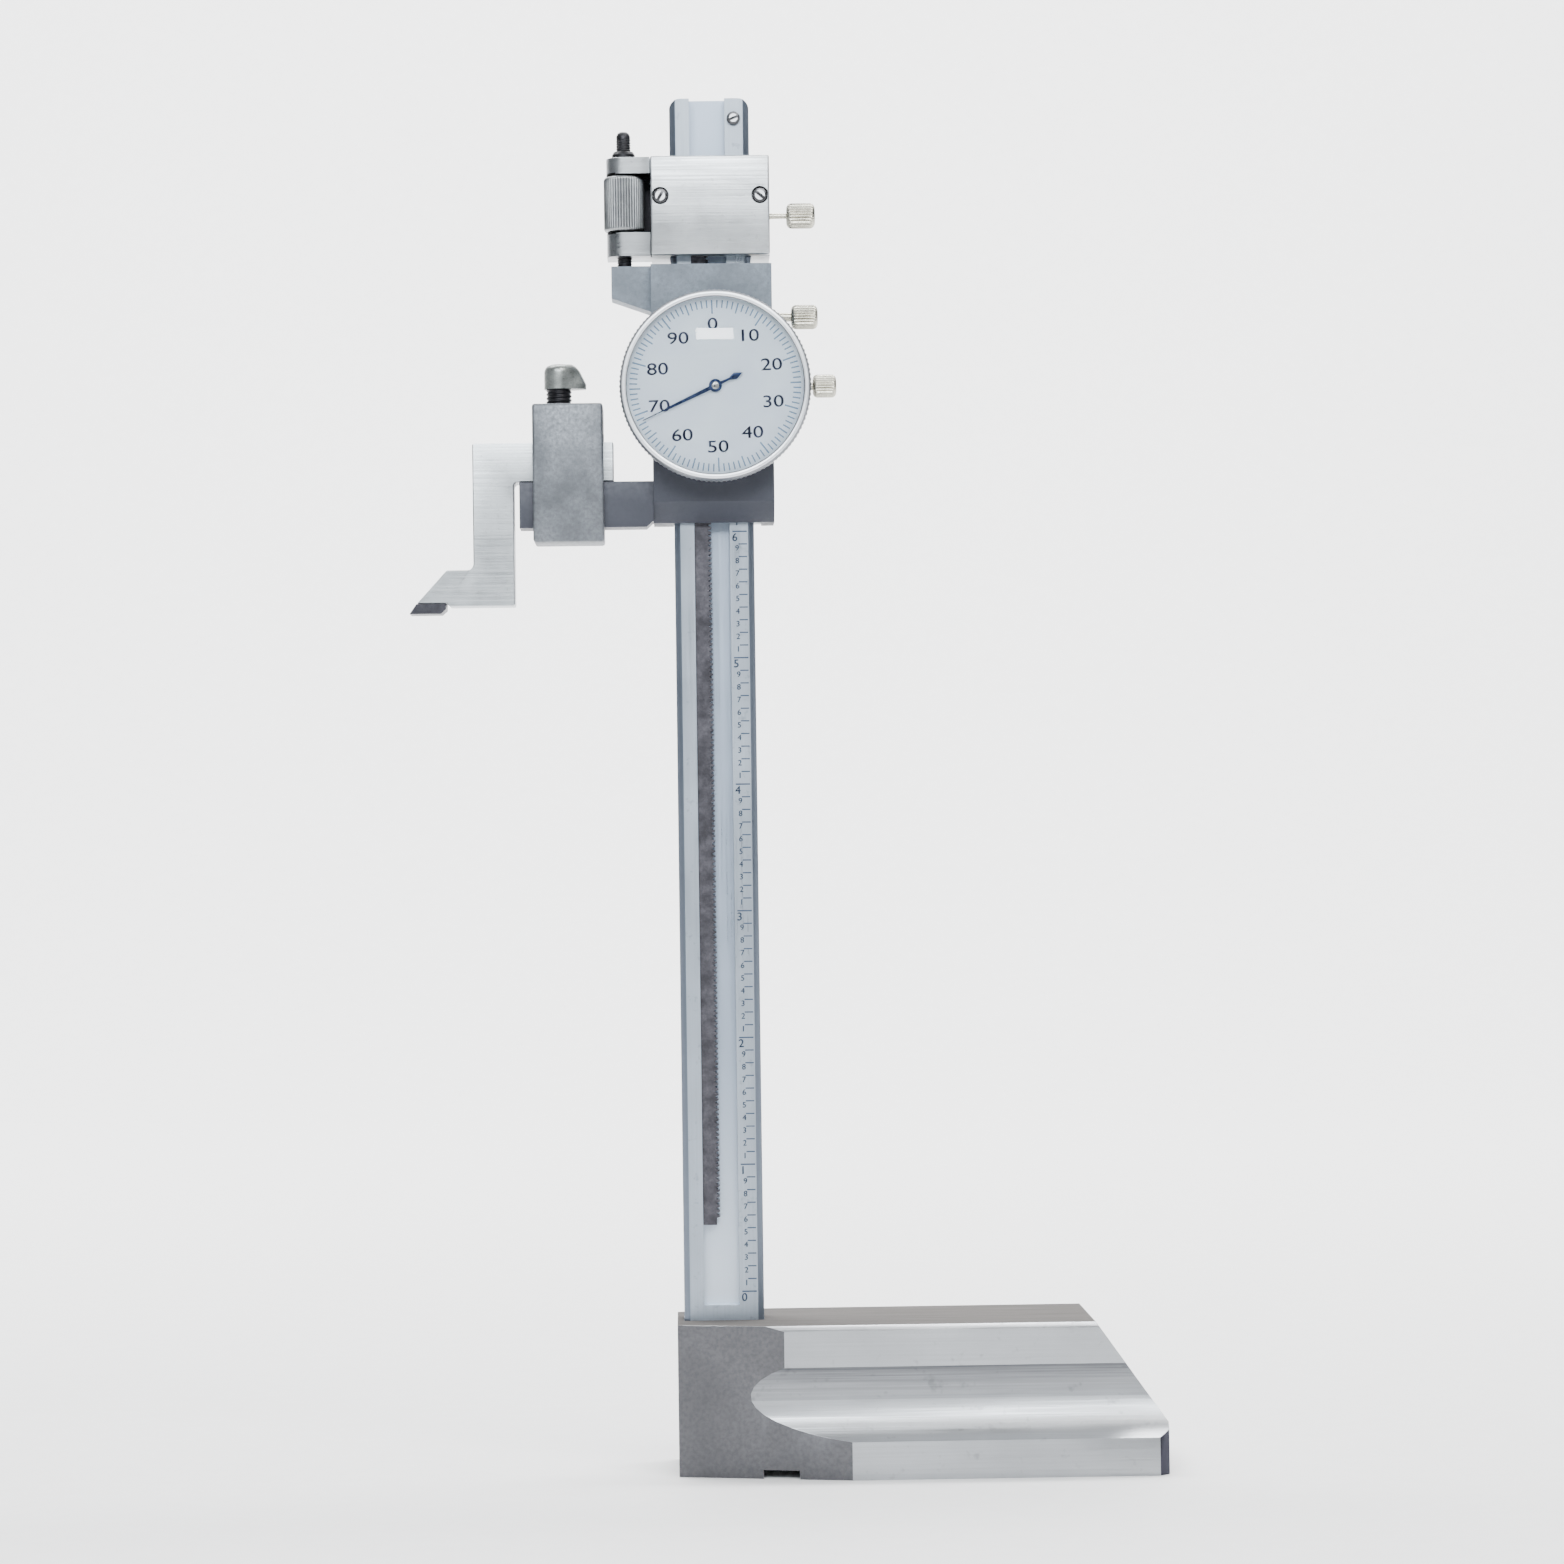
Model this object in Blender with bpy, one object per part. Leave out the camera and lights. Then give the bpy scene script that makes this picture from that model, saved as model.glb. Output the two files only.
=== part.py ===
"""A dial height gauge: a heavy gripped base, a graduated column with a rack let into it, a slider
that carries the dial, the measuring jaw and the scriber, and a fine-adjust carriage above it.

Lengths are in millimetres here and become metres when a mesh is made. X runs to the right of the
dial, +Y away from its reader and +Z up the column. The origin is on the column's middle line, on
the underside of the base.
"""
import bmesh
import bpy
from math import acos, cos, pi, radians, sin, sqrt, tan
from mathutils import Vector

MM = 0.001

# Clearances
FIT = 0.05  # between two pieces that are fastened together
SLIDE = 0.10  # between two pieces that slide on each other
TURN = 0.12  # round a shaft, over its radius
THREAD = 0.10  # round a screw, over its radius

# Base
BASE_LEFT = -9.4
BASE_LENGTH = 96.6
BASE_HEIGHT = 30.0
BASE_EDGE = 1.0
LIP_HALF_WIDTH = 22.8
TOP_HALF_WIDTH = 19.3
GROOVE_RADIUS = 9.8
GROOVE_DEPTH = 5.3  # from the lower lip
GROOVE_HEIGHT = 16.2
TAPER_START = 11.6  # where the tapered sides meet the upper strip
TAPER_ANGLE = radians(15)
NOSE_RUN = 14.0
NOSE_HEIGHT = 10.2
NOSE_CORNER = 2.0
RELIEF_START = 7.3
RELIEF_WIDTH = 7.1
RELIEF_HEIGHT = 1.75
POCKET_DEPTH = 8.0

# Column, with its channel, its scale and its rack
COLUMN_WIDTH = 16.0
COLUMN_DEPTH = 9.0
COLUMN_TOP = 275.4
COLUMN_EDGE = 1.2
COLUMN_CORNER = 2.2
CHANNEL_LEFT = -4.0
CHANNEL_RIGHT = 3.1
CHANNEL_DEPTH = 3.2
CHANNEL_FOOT = 33.0
SCALE_ZERO = 35.7
INCH = 25.4
READING = 6.068
RACK_FOOT = 49.0
RACK_TOP = 262.0
RACK_THICKNESS = 2.55
STOP_X = 4.9
STOP_HEIGHT = 271.3

# Dial train: one turn of the pointer is a tenth of an inch
PINION_TEETH = 10
PINION_ADVANCE = 0.4 * INCH  # slider travel for one turn of the pinion
WHEEL_TEETH = 48
CENTRE_TEETH = 12
WHEEL_MODULE = 0.25
WHEEL_THICKNESS = 0.6
TOOTH_SHARE = 0.41  # of the pitch, which leaves the backlash
PRESSURE_ANGLE = radians(20)

# Slider
SLIDER_CHEEKS = 8.2  # both sides together, past the column
SLIDER_HEIGHT = 51.6
SLIDER_PLATE = 5.0
INDEX_BEVEL = 4.0
INDEX_LEDGE = 1.0
GIB_THICKNESS = 1.4
BACK_PLATE = 2.2
JAW_REACH = 38.9
JAW_HEIGHT = 9.15
JAW_DROP = 0.9  # below the slider's lower edge
JAW_THICKNESS = 8.0
JAW_Y = -4.6
LUG_END = 2.7  # past the fine screw's axis
LUG_TIP = 6.4
LUG_ROOT = 9.2
SLIDER_CLAMP_DROP = 9.8  # below the slider's top

# Dial
DIAL_X = 0.5
DIAL_RISE = 26.4  # above the slider's lower edge
BEZEL_RADIUS = 19.1
BEZEL_RIM = 1.5
BEZEL_DEPTH = 3.3
BEZEL_OVERHANG = 1.6  # past the case
CASE_WALL = 1.6
CASE_FLOOR = 1.25
CASE_DEPTH = 4.95
CRYSTAL_THICKNESS = 0.65
FACE_THICKNESS = 0.3
MOVEMENT_PLATE = 0.7
PILLAR_INSET = 3.6  # from the case wall to the pillars' axes
PILLAR_RADIUS = 1.25
CASE_SCREW_OFFSET = 9.5
POINTER_LENGTH = 16.0
POINTER_HUB = 1.3
POINTER_BLADE = 11.2  # the stout part; the rest is a fine line
POINTER_TAIL = 6.0

# Fine-adjust carriage
CARRIAGE_GAP = 2.1
CARRIAGE_CHEEKS = 7.8
CARRIAGE_HEIGHT = 19.9
CARRIAGE_BACK = 2.4
CARRIAGE_PLATE = 3.0
PLATE_SCREW_RISE = 11.9
FINE_REACH = 5.4  # from the carriage's side to the fine screw's axis
FINE_Y = -3.0
FINE_RADIUS = 1.5
FINE_TOP = 268.9
FINE_TAPER = 1.0
YOKE_RADIUS = 3.5
YOKE_LOWER = 4.8
YOKE_UPPER = 3.3
YOKE_WEB = 2.0
NUT_RADIUS = 4.05
NUT_FLOAT = 0.35
CARRIAGE_CLAMP_RISE = 8.6

# Scriber and its clamp
BOX_LEFT = -36.1
BOX_WIDTH = 14.1
BOX_THICKNESS = 14.0
BOX_FLOOR = 2.9
BOX_CROWN = 5.4
PAD_LENGTH = 8.0
PAD_HEIGHT = 1.9
CLAMP_X = -30.8
CLAMP_RADIUS = 2.6
CLAMP_SHOWING = 3.4
CLAMP_HEAD = 5.0
KNOB_RADIUS = 2.95
KNOB_NOSE = 1.7
KNOB_REACH = 3.8  # from the clamp's axis to the middle of the nose
SCRIBER_HEIGHT = 7.8
SCRIBER_LEFT = -48.2
SCRIBER_RIGHT = -20.0
SCRIBER_ARM = 8.2
SCRIBER_DROP = 24.6  # from the jaw's top to the foot's underside
FOOT_HEIGHT = 7.2
FOOT_REACH = 5.4
FOOT_SLOPE = 6.0
TIP_THICKNESS = 2.0

# Places that follow from the sizes above
BASE_RIGHT = BASE_LEFT + BASE_LENGTH
COLUMN_FRONT = -COLUMN_DEPTH / 2
COLUMN_BACK = COLUMN_DEPTH / 2
COLUMN_SIDE = COLUMN_WIDTH / 2
COLUMN_FOOT = BASE_HEIGHT - POCKET_DEPTH + FIT
CHANNEL_FLOOR = COLUMN_FRONT + CHANNEL_DEPTH

SLIDER_FOOT = SCALE_ZERO + READING * INCH
SLIDER_TOP = SLIDER_FOOT + SLIDER_HEIGHT
SLIDER_SIDE = (COLUMN_WIDTH + SLIDER_CHEEKS) / 2
SLIDER_INNER = COLUMN_FRONT - SLIDE
SLIDER_FRONT = SLIDER_INNER - SLIDER_PLATE
CHEEK_BACK = COLUMN_BACK + SLIDE
GIB_OUTER = COLUMN_SIDE + SLIDE + GIB_THICKNESS
RIGHT_CHEEK = GIB_OUTER + SLIDE
LEFT_CHEEK = COLUMN_SIDE + SLIDE
JAW_FOOT = SLIDER_FOOT - JAW_DROP
JAW_TOP = JAW_FOOT + JAW_HEIGHT
SLIDER_CLAMP_Z = SLIDER_TOP - SLIDER_CLAMP_DROP

DIAL_Z = SLIDER_FOOT + DIAL_RISE
CASE_BACK = SLIDER_FRONT - FIT
CASE_INSIDE = CASE_BACK - CASE_FLOOR
CASE_FRONT = CASE_BACK - CASE_DEPTH
CASE_RADIUS = BEZEL_RADIUS - BEZEL_OVERHANG
CASE_BORE = CASE_RADIUS - CASE_WALL
PILLAR_CIRCLE = CASE_BORE - PILLAR_INSET
WHEEL_BACK = CASE_INSIDE - 0.65
WHEEL_FRONT = WHEEL_BACK - WHEEL_THICKNESS
PLATE_BACK = WHEEL_FRONT - 0.7
PLATE_FRONT = PLATE_BACK - MOVEMENT_PLATE
BEZEL_BACK = CASE_FRONT - 0.2
BEZEL_FRONT = BEZEL_BACK - BEZEL_DEPTH
SKIRT_RADIUS = CASE_BORE - 2 * SLIDE
SKIRT_BORE = SKIRT_RADIUS - 1.0
SKIRT_BACK = WHEEL_FRONT - 0.25
SEAT = BEZEL_BACK - 0.8  # the step that the dial face rests on
WINDOW_RADIUS = BEZEL_RADIUS - BEZEL_RIM
CAVITY_RADIUS = WINDOW_RADIUS + 0.55
FACE_BACK = SEAT - FIT
FACE_FRONT = FACE_BACK - FACE_THICKNESS
LIP_BACK = BEZEL_FRONT + 0.5
CRYSTAL_FRONT = LIP_BACK + FIT
CRYSTAL_BACK = CRYSTAL_FRONT + CRYSTAL_THICKNESS
POINTER_BACK = FACE_FRONT - 0.3
POINTER_FRONT = POINTER_BACK - 0.25
POINTER_TURN = 2 * pi * (READING / 0.1 % 1)  # clockwise from the top of the dial
BEZEL_CLAMP_Y = CASE_FRONT + 1.5

PINION_MODULE = PINION_ADVANCE / (PINION_TEETH * pi)
PINION_RADIUS = PINION_MODULE * PINION_TEETH / 2
PINION_ADDENDUM = 0.8 * PINION_MODULE
PINION_X = CHANNEL_RIGHT - PINION_RADIUS - PINION_ADDENDUM - 0.42
RACK_PITCH = pi * PINION_MODULE
RACK_LINE = PINION_X - PINION_RADIUS
RACK_BACK = CHANNEL_FLOOR - FIT
RACK_FRONT = RACK_BACK - RACK_THICKNESS
WHEEL_CENTRES = WHEEL_MODULE * (WHEEL_TEETH + CENTRE_TEETH) / 2
DRIVE_Z = DIAL_Z - sqrt(WHEEL_CENTRES**2 - (PINION_X - DIAL_X) ** 2)
TAKEUP_X = 2 * DIAL_X - PINION_X
TAKEUP_Z = 2 * DIAL_Z - DRIVE_Z
DRIVE_ARBOR = 0.8
CENTRE_ARBOR = 0.6
BUSH_RADIUS = 2.1

CARRIAGE_FOOT = SLIDER_TOP + CARRIAGE_GAP
CARRIAGE_TOP = CARRIAGE_FOOT + CARRIAGE_HEIGHT
CARRIAGE_SIDE = (COLUMN_WIDTH + CARRIAGE_CHEEKS) / 2
FINE_X = -CARRIAGE_SIDE - FINE_REACH
LUG_LEFT = FINE_X - LUG_END
CARRIAGE_INNER = COLUMN_SIDE + SLIDE
PLATE_REAR = SLIDER_INNER - FIT
PLATE_FACE = PLATE_REAR - CARRIAGE_PLATE
PLATE_SCREW_X = (CARRIAGE_INNER + CARRIAGE_SIDE) / 2
PLATE_SCREW_Z = CARRIAGE_FOOT + PLATE_SCREW_RISE
CARRIAGE_CLAMP_Z = CARRIAGE_FOOT + CARRIAGE_CLAMP_RISE
NUT_FOOT = CARRIAGE_FOOT + YOKE_LOWER + NUT_FLOAT
NUT_TOP = CARRIAGE_TOP - YOKE_UPPER - NUT_FLOAT
FINE_FOOT = SLIDER_TOP - LUG_TIP + 1.2

SCRIBER_FOOT_Z = JAW_TOP + SLIDE
SCRIBER_TOP = SCRIBER_FOOT_Z + SCRIBER_HEIGHT
SCRIBER_THICKNESS = JAW_THICKNESS - 0.4
PAD_FOOT = SCRIBER_TOP + SLIDE
PAD_TOP = PAD_FOOT + PAD_HEIGHT
WINDOW_TOP = PAD_TOP + 0.2
WINDOW_FOOT = JAW_FOOT - SLIDE
BOX_FOOT = WINDOW_FOOT - BOX_FLOOR
BOX_TOP = WINDOW_TOP + BOX_CROWN
BOX_RIGHT = BOX_LEFT + BOX_WIDTH
HEAD_FOOT = BOX_TOP + CLAMP_SHOWING
HEAD_TOP = HEAD_FOOT + CLAMP_HEAD
SOLE = JAW_TOP - SCRIBER_DROP

# Fasteners, as (head radius, head height, shank radius)
COLUMN_SCREW = (2.75, 3.0, 1.5)
RACK_SCREW = (1.4, 1.1, 0.7)
STOP_SCREW = (1.35, 0.8, 0.7)
BACK_SCREW = (1.3, 0.8, 0.7)
CASE_SCREW = (1.9, 0.8, 0.9)
PILLAR_SCREW = (1.25, 0.6, 0.5)
CARRIAGE_SCREW = (1.6, 1.2, 0.8)
GIB_SCREW_RADIUS = 0.9

# Thumb screws, as (thread radius, neck radius, knob radius)
BEZEL_CLAMP = (0.9, 0.75, 2.3)
SLIDER_CLAMP = (1.1, 0.9, 2.45)
CARRIAGE_CLAMP = (0.6, 0.55, 2.55)


# ---------------------------------------------------------------- helpers

MATERIALS = {
    "ground_steel": ((0.60, 0.62, 0.64), 0.34, 1.0),
    "cast_steel": ((0.36, 0.37, 0.39), 0.42, 1.0),
    "column_steel": ((0.70, 0.72, 0.75), 0.30, 1.0),
    "rack_steel": ((0.18, 0.18, 0.20), 0.45, 1.0),
    "plated_steel": ((0.72, 0.73, 0.72), 0.22, 1.0),
    "chromed_steel": ((0.82, 0.83, 0.85), 0.12, 1.0),
    "black_steel": ((0.03, 0.03, 0.035), 0.38, 0.6),
    "carbide": ((0.14, 0.14, 0.16), 0.40, 1.0),
    "brass": ((0.78, 0.60, 0.30), 0.28, 1.0),
    "blued_steel": ((0.06, 0.09, 0.22), 0.25, 0.9),
    "dial_white": ((0.86, 0.90, 0.94), 0.45, 0.0),
    "clear_glass": ((0.95, 0.97, 1.0), 0.03, 0.0),
}


def clear_scene():
    for thing in list(bpy.data.objects):
        bpy.data.objects.remove(thing)


def material(name):
    found = bpy.data.materials.get(name)
    if found:
        return found
    colour, roughness, metallic = MATERIALS[name]
    made = bpy.data.materials.new(name)
    made.use_nodes = True
    made.diffuse_color = (*colour, 1.0)
    shader = made.node_tree.nodes["Principled BSDF"]
    shader.inputs["Base Color"].default_value = (*colour, 1.0)
    shader.inputs["Roughness"].default_value = roughness
    shader.inputs["Metallic"].default_value = metallic
    if name == "clear_glass":
        shader.inputs["Transmission Weight"].default_value = 1.0
    return made


def body(name, pivot=(0, 0, 0), parent=None):
    """An empty on the joint's axis, which its pieces hang from."""
    empty = bpy.data.objects.new(name + "_pivot", None)
    bpy.context.collection.objects.link(empty)
    empty["pivot"] = list(pivot)
    empty.parent = parent
    start = Vector(parent["pivot"]) if parent else Vector((0, 0, 0))
    empty.location = (Vector(pivot) - start) * MM
    return empty


def piece(name, bm, finish, owner, hidden=False):
    """Turns a mesh in millimetres into an object whose origin is its body's pivot."""
    bmesh.ops.translate(bm, vec=-Vector(owner["pivot"]), verts=bm.verts)
    bmesh.ops.scale(bm, vec=(MM, MM, MM), verts=bm.verts)
    mesh = bpy.data.meshes.new(name)
    bm.to_mesh(mesh)
    bm.free()
    made = bpy.data.objects.new(name, mesh)
    bpy.context.collection.objects.link(made)
    made.parent = owner
    if hidden:
        made.hide_render = True
        made.display_type = "WIRE"
    else:
        mesh.materials.append(material(finish))
        mesh.shade_smooth()
        mesh.set_sharp_from_angle(angle=radians(30))
    return made


def boolean(target, operation, bm):
    """Cuts, joins or trims a piece with a second solid."""
    tool = piece(f"{target.name}_{operation.lower()}", bm, None, target.parent, hidden=True)
    step = target.modifiers.new(operation.title(), "BOOLEAN")
    step.operation = operation
    step.object = tool
    step.solver = "EXACT"
    return target


def cut(target, bm):
    return boolean(target, "DIFFERENCE", bm)


def join(target, bm):
    return boolean(target, "UNION", bm)


def trim(target, bm):
    return boolean(target, "INTERSECT", bm)


def point_on(axis, along, a, b):
    """A point from its place along an axis and its two coordinates across it, in X, Y, Z order."""
    return {"X": (along, a, b), "Y": (a, along, b), "Z": (a, b, along)}[axis]


def prism(outline, axis, low, high):
    bm = bmesh.new()
    face = bm.faces.new([bm.verts.new(point_on(axis, low, a, b)) for a, b in outline])
    grown = bmesh.ops.extrude_face_region(bm, geom=[face])["geom"]
    far = [item for item in grown if isinstance(item, bmesh.types.BMVert)]
    bmesh.ops.translate(bm, vec=Vector(point_on(axis, high - low, 0, 0)), verts=far)
    bmesh.ops.recalc_face_normals(bm, faces=bm.faces)
    return bm


def block(low, high, edge=0.0):
    """A box between two corners, with its edges broken by a small bevel."""
    (x0, y0, z0), (x1, y1, z1) = low, high
    bm = prism([(x0, y0), (x1, y0), (x1, y1), (x0, y1)], "Z", z0, z1)
    if edge:
        bmesh.ops.bevel(bm, geom=bm.edges[:], offset=edge, segments=2, affect="EDGES", profile=0.5)
    return bm


def turned(profile, axis, centre, sides=32):
    """Spins a closed profile of (radius, place along the axis) round the axis."""
    bm = bmesh.new()
    rows = []
    for radius, along in profile:
        if radius == 0:
            rows.append([bm.verts.new(point_on(axis, along, *centre))] * sides)
            continue
        row = []
        for step in range(sides):
            angle = 2 * pi * step / sides
            across = (centre[0] + radius * cos(angle), centre[1] + radius * sin(angle))
            row.append(bm.verts.new(point_on(axis, along, *across)))
        rows.append(row)
    for here, there in zip(rows, rows[1:] + rows[:1]):
        for step in range(sides):
            after = (step + 1) % sides
            corners = list(dict.fromkeys((here[step], here[after], there[after], there[step])))
            if len(corners) > 2:
                bm.faces.new(corners)
    bmesh.ops.recalc_face_normals(bm, faces=bm.faces)
    return bm


def rod(axis, centre, radius, low, high, sides=24, edge=0.0):
    """A round bar with chamfered ends."""
    ends = [(radius - edge, low), (radius, low + edge), (radius, high - edge), (radius - edge, high)]
    profile = ends if edge else [(radius, low), (radius, high)]
    return turned([(0, low), *profile, (0, high)], axis, centre, sides)


def tube(axis, centre, bore, radius, low, high, sides=24):
    return turned([(bore, low), (radius, low), (radius, high), (bore, high)], axis, centre, sides)


def screw_solid(sizes, axis, centre, seat, tip, sides=16):
    """A screw whose head stands on the seat and whose shank runs from it to the tip."""
    head, height, shank = sizes
    up = 1 if seat > tip else -1
    crown = seat + up * height
    edge = 0.15 * head
    profile = [(0, tip), (shank * 0.7, tip), (shank, tip + up * shank * 0.3), (shank, seat), (head, seat)]
    profile += [(head, crown - up * edge), (head - edge, crown), (0, crown)]
    return turned(profile, axis, centre, sides)


def slot(axis, centre, radius, depth, crown, outward, width):
    """The cutter for a screwdriver slot that runs across a head along the first cross axis."""
    a, b = centre
    bottom, top = sorted((crown - outward * depth, crown + outward * 1.0))
    reach = 1.4 * radius
    outline = [
        (a - reach, b - width / 2), (a + reach, b - width / 2),
        (a + reach, b + width / 2), (a - reach, b + width / 2),
    ]
    return prism(outline, axis, bottom, top)


def slotted_screw(name, sizes, axis, centre, seat, tip, owner, finish="plated_steel"):
    head, height, _ = sizes
    outward = 1 if seat > tip else -1
    made = piece(name, screw_solid(sizes, axis, centre, seat, tip), finish, owner)
    return cut(made, slot(axis, centre, head, 0.5 * height, seat + outward * height, outward, 0.25 * head))


def arc(centre, radius, start, end, steps):
    """Points on an arc, with both ends."""
    turns = [start + (end - start) * step / steps for step in range(steps + 1)]
    return [(centre[0] + radius * cos(turn), centre[1] + radius * sin(turn)) for turn in turns]


def gear_outline(teeth, module, centre, phase, addendum, dedendum):
    """Involute teeth round a centre; one tooth points along the phase angle."""
    pitch = teeth * module / 2
    base = pitch * cos(PRESSURE_ANGLE)
    root = pitch - dedendum
    outer = pitch + addendum
    half = TOOTH_SHARE * pi * module / (2 * pitch)
    involute = tan(PRESSURE_ANGLE) - PRESSURE_ANGLE

    def half_angle(radius):
        slope = acos(min(1.0, base / radius))
        return half + involute - (tan(slope) - slope)

    flank = [root] if root > base else [root, base]
    flank += [(max(flank) + outer) / 2, outer]
    points = []
    for tooth in range(teeth):
        middle = phase + 2 * pi * tooth / teeth
        rising = [(radius, middle - half_angle(radius)) for radius in flank]
        falling = [(radius, middle + half_angle(radius)) for radius in reversed(flank)]
        for radius, angle in rising + falling:
            points.append((centre[0] + radius * cos(angle), centre[1] + radius * sin(angle)))
    return points


def toward(start, end):
    """The polar angle of the direction from one point to another."""
    step = Vector((end[0] - start[0], end[1] - start[1]))
    return Vector((1, 0)).angle_signed(step) * -1


# ---------------------------------------------------------------- stand


def make_base(stand):
    groove_axis = LIP_HALF_WIDTH - GROOVE_DEPTH + GROOVE_RADIUS
    low = acos((groove_axis - LIP_HALF_WIDTH) / GROOVE_RADIUS)
    high = acos((groove_axis - TOP_HALF_WIDTH) / GROOVE_RADIUS)
    side = [(LIP_HALF_WIDTH, 0)]
    side += arc((groove_axis, GROOVE_HEIGHT), GROOVE_RADIUS, pi + low, pi - high, 12)
    side += [(TOP_HALF_WIDTH, BASE_HEIGHT - BASE_EDGE), (TOP_HALF_WIDTH - BASE_EDGE, BASE_HEIGHT)]
    section = side + [(-y, z) for y, z in reversed(side)]
    base = piece("base", prism(section, "X", BASE_LEFT - 5, BASE_RIGHT + 5), "ground_steel", stand)

    wide = LIP_HALF_WIDTH + 2
    end_half = TOP_HALF_WIDTH - (TAPER_START - BASE_LEFT) * tan(TAPER_ANGLE)
    wide_x = TAPER_START + (wide - TOP_HALF_WIDTH) / tan(TAPER_ANGLE)
    corner = NOSE_CORNER + wide - LIP_HALF_WIDTH
    plan = [(BASE_LEFT, end_half), (wide_x, wide), (BASE_RIGHT - corner, wide), (BASE_RIGHT, wide - corner)]
    plan += [(x, -y) for x, y in reversed(plan)]
    trim(base, prism(plan, "Z", -5, BASE_HEIGHT + 5))

    fall = (BASE_HEIGHT - NOSE_HEIGHT) / NOSE_RUN
    beyond = 5
    profile = [
        (BASE_LEFT - 9, -beyond), (BASE_RIGHT + beyond, -beyond),
        (BASE_RIGHT + beyond, NOSE_HEIGHT - beyond * fall),
        (BASE_RIGHT - NOSE_RUN - beyond / fall, BASE_HEIGHT + beyond),
        (BASE_LEFT - 9, BASE_HEIGHT + beyond),
    ]
    trim(base, prism(profile, "Y", -2 * wide, 2 * wide))

    cut(base, block((RELIEF_START, -2 * wide, -1), (RELIEF_START + RELIEF_WIDTH, 2 * wide, RELIEF_HEIGHT)))
    half_x, half_y = COLUMN_SIDE + FIT, COLUMN_BACK + FIT
    cut(base, block((-half_x, -half_y, BASE_HEIGHT - POCKET_DEPTH), (half_x, half_y, BASE_HEIGHT + 3)))
    head, height, shank = COLUMN_SCREW
    for x in column_screw_places():
        cut(base, rod("Z", (x, 0), head + 0.2, -1, height + 0.8, sides=32))
        cut(base, rod("Z", (x, 0), shank + 0.2, height, BASE_HEIGHT - 1))


def column_screw_places():
    return (-COLUMN_SIDE * 0.6, COLUMN_SIDE * 0.6)


def rack_screw_places():
    inset = 12.0
    return (RACK_FOOT + inset, RACK_TOP - inset)


def rack_middle():
    return (CHANNEL_LEFT + RACK_LINE - 1.25 * PINION_MODULE) / 2


def make_column(stand):
    front, back, side, edge = COLUMN_FRONT, COLUMN_BACK, COLUMN_SIDE, COLUMN_EDGE
    half = [(side - edge, front), (side, front + edge), (side, back - edge / 2), (side - edge / 2, back)]
    plan = half + [(-x, y) for x, y in reversed(half)]
    column = piece("column", prism(plan, "Z", COLUMN_FOOT, COLUMN_TOP + 5), "column_steel", stand)
    turn = COLUMN_TOP - COLUMN_CORNER
    face = [(-side - 2, COLUMN_FOOT - 5), (side + 2, COLUMN_FOOT - 5), (side + 2, turn)]
    corner = side - COLUMN_CORNER + FIT
    face += arc((corner, turn), COLUMN_CORNER, 0, pi / 2, 6)
    face += arc((-corner, turn), COLUMN_CORNER, pi / 2, pi, 6)
    face += [(-side - 2, turn)]
    trim(column, prism(face, "Y", front - 5, back + 5))
    low, high = (CHANNEL_LEFT, front - 2, CHANNEL_FOOT), (CHANNEL_RIGHT, CHANNEL_FLOOR, COLUMN_TOP + 5)
    cut(column, block(low, high))

    for x in column_screw_places():
        cut(column, rod("Z", (x, 0), COLUMN_SCREW[2] + THREAD, COLUMN_FOOT - 1, BASE_HEIGHT + 1.5))
    head, height, shank = RACK_SCREW
    for z in rack_screw_places():
        cut(column, rod("Y", (rack_middle(), z), shank + THREAD, CHANNEL_FLOOR - 1, back + 1))
        cut(column, rod("Y", (rack_middle(), z), head + 0.15, back - height - 0.2, back + 1))
    cut(column, rod("Y", (STOP_X, STOP_HEIGHT), STOP_SCREW[2] + THREAD, front - 1, front + 4))

    head, height, _ = COLUMN_SCREW
    for side_name, x in zip(("left", "right"), column_screw_places()):
        solid = screw_solid(COLUMN_SCREW, "Z", (x, 0), height + 0.7, BASE_HEIGHT + 1)
        made = piece(f"column_screw_{side_name}", solid, "black_steel", stand)
        socket = [(x + 0.5 * head * cos(k * pi / 3), 0.5 * head * sin(k * pi / 3)) for k in range(6)]
        cut(made, prism(socket, "Z", -1, 0.7 + 0.6 * height))
    slotted_screw("stop_screw", STOP_SCREW, "Y", (STOP_X, STOP_HEIGHT), front - FIT, front + 3.6, stand)


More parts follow.
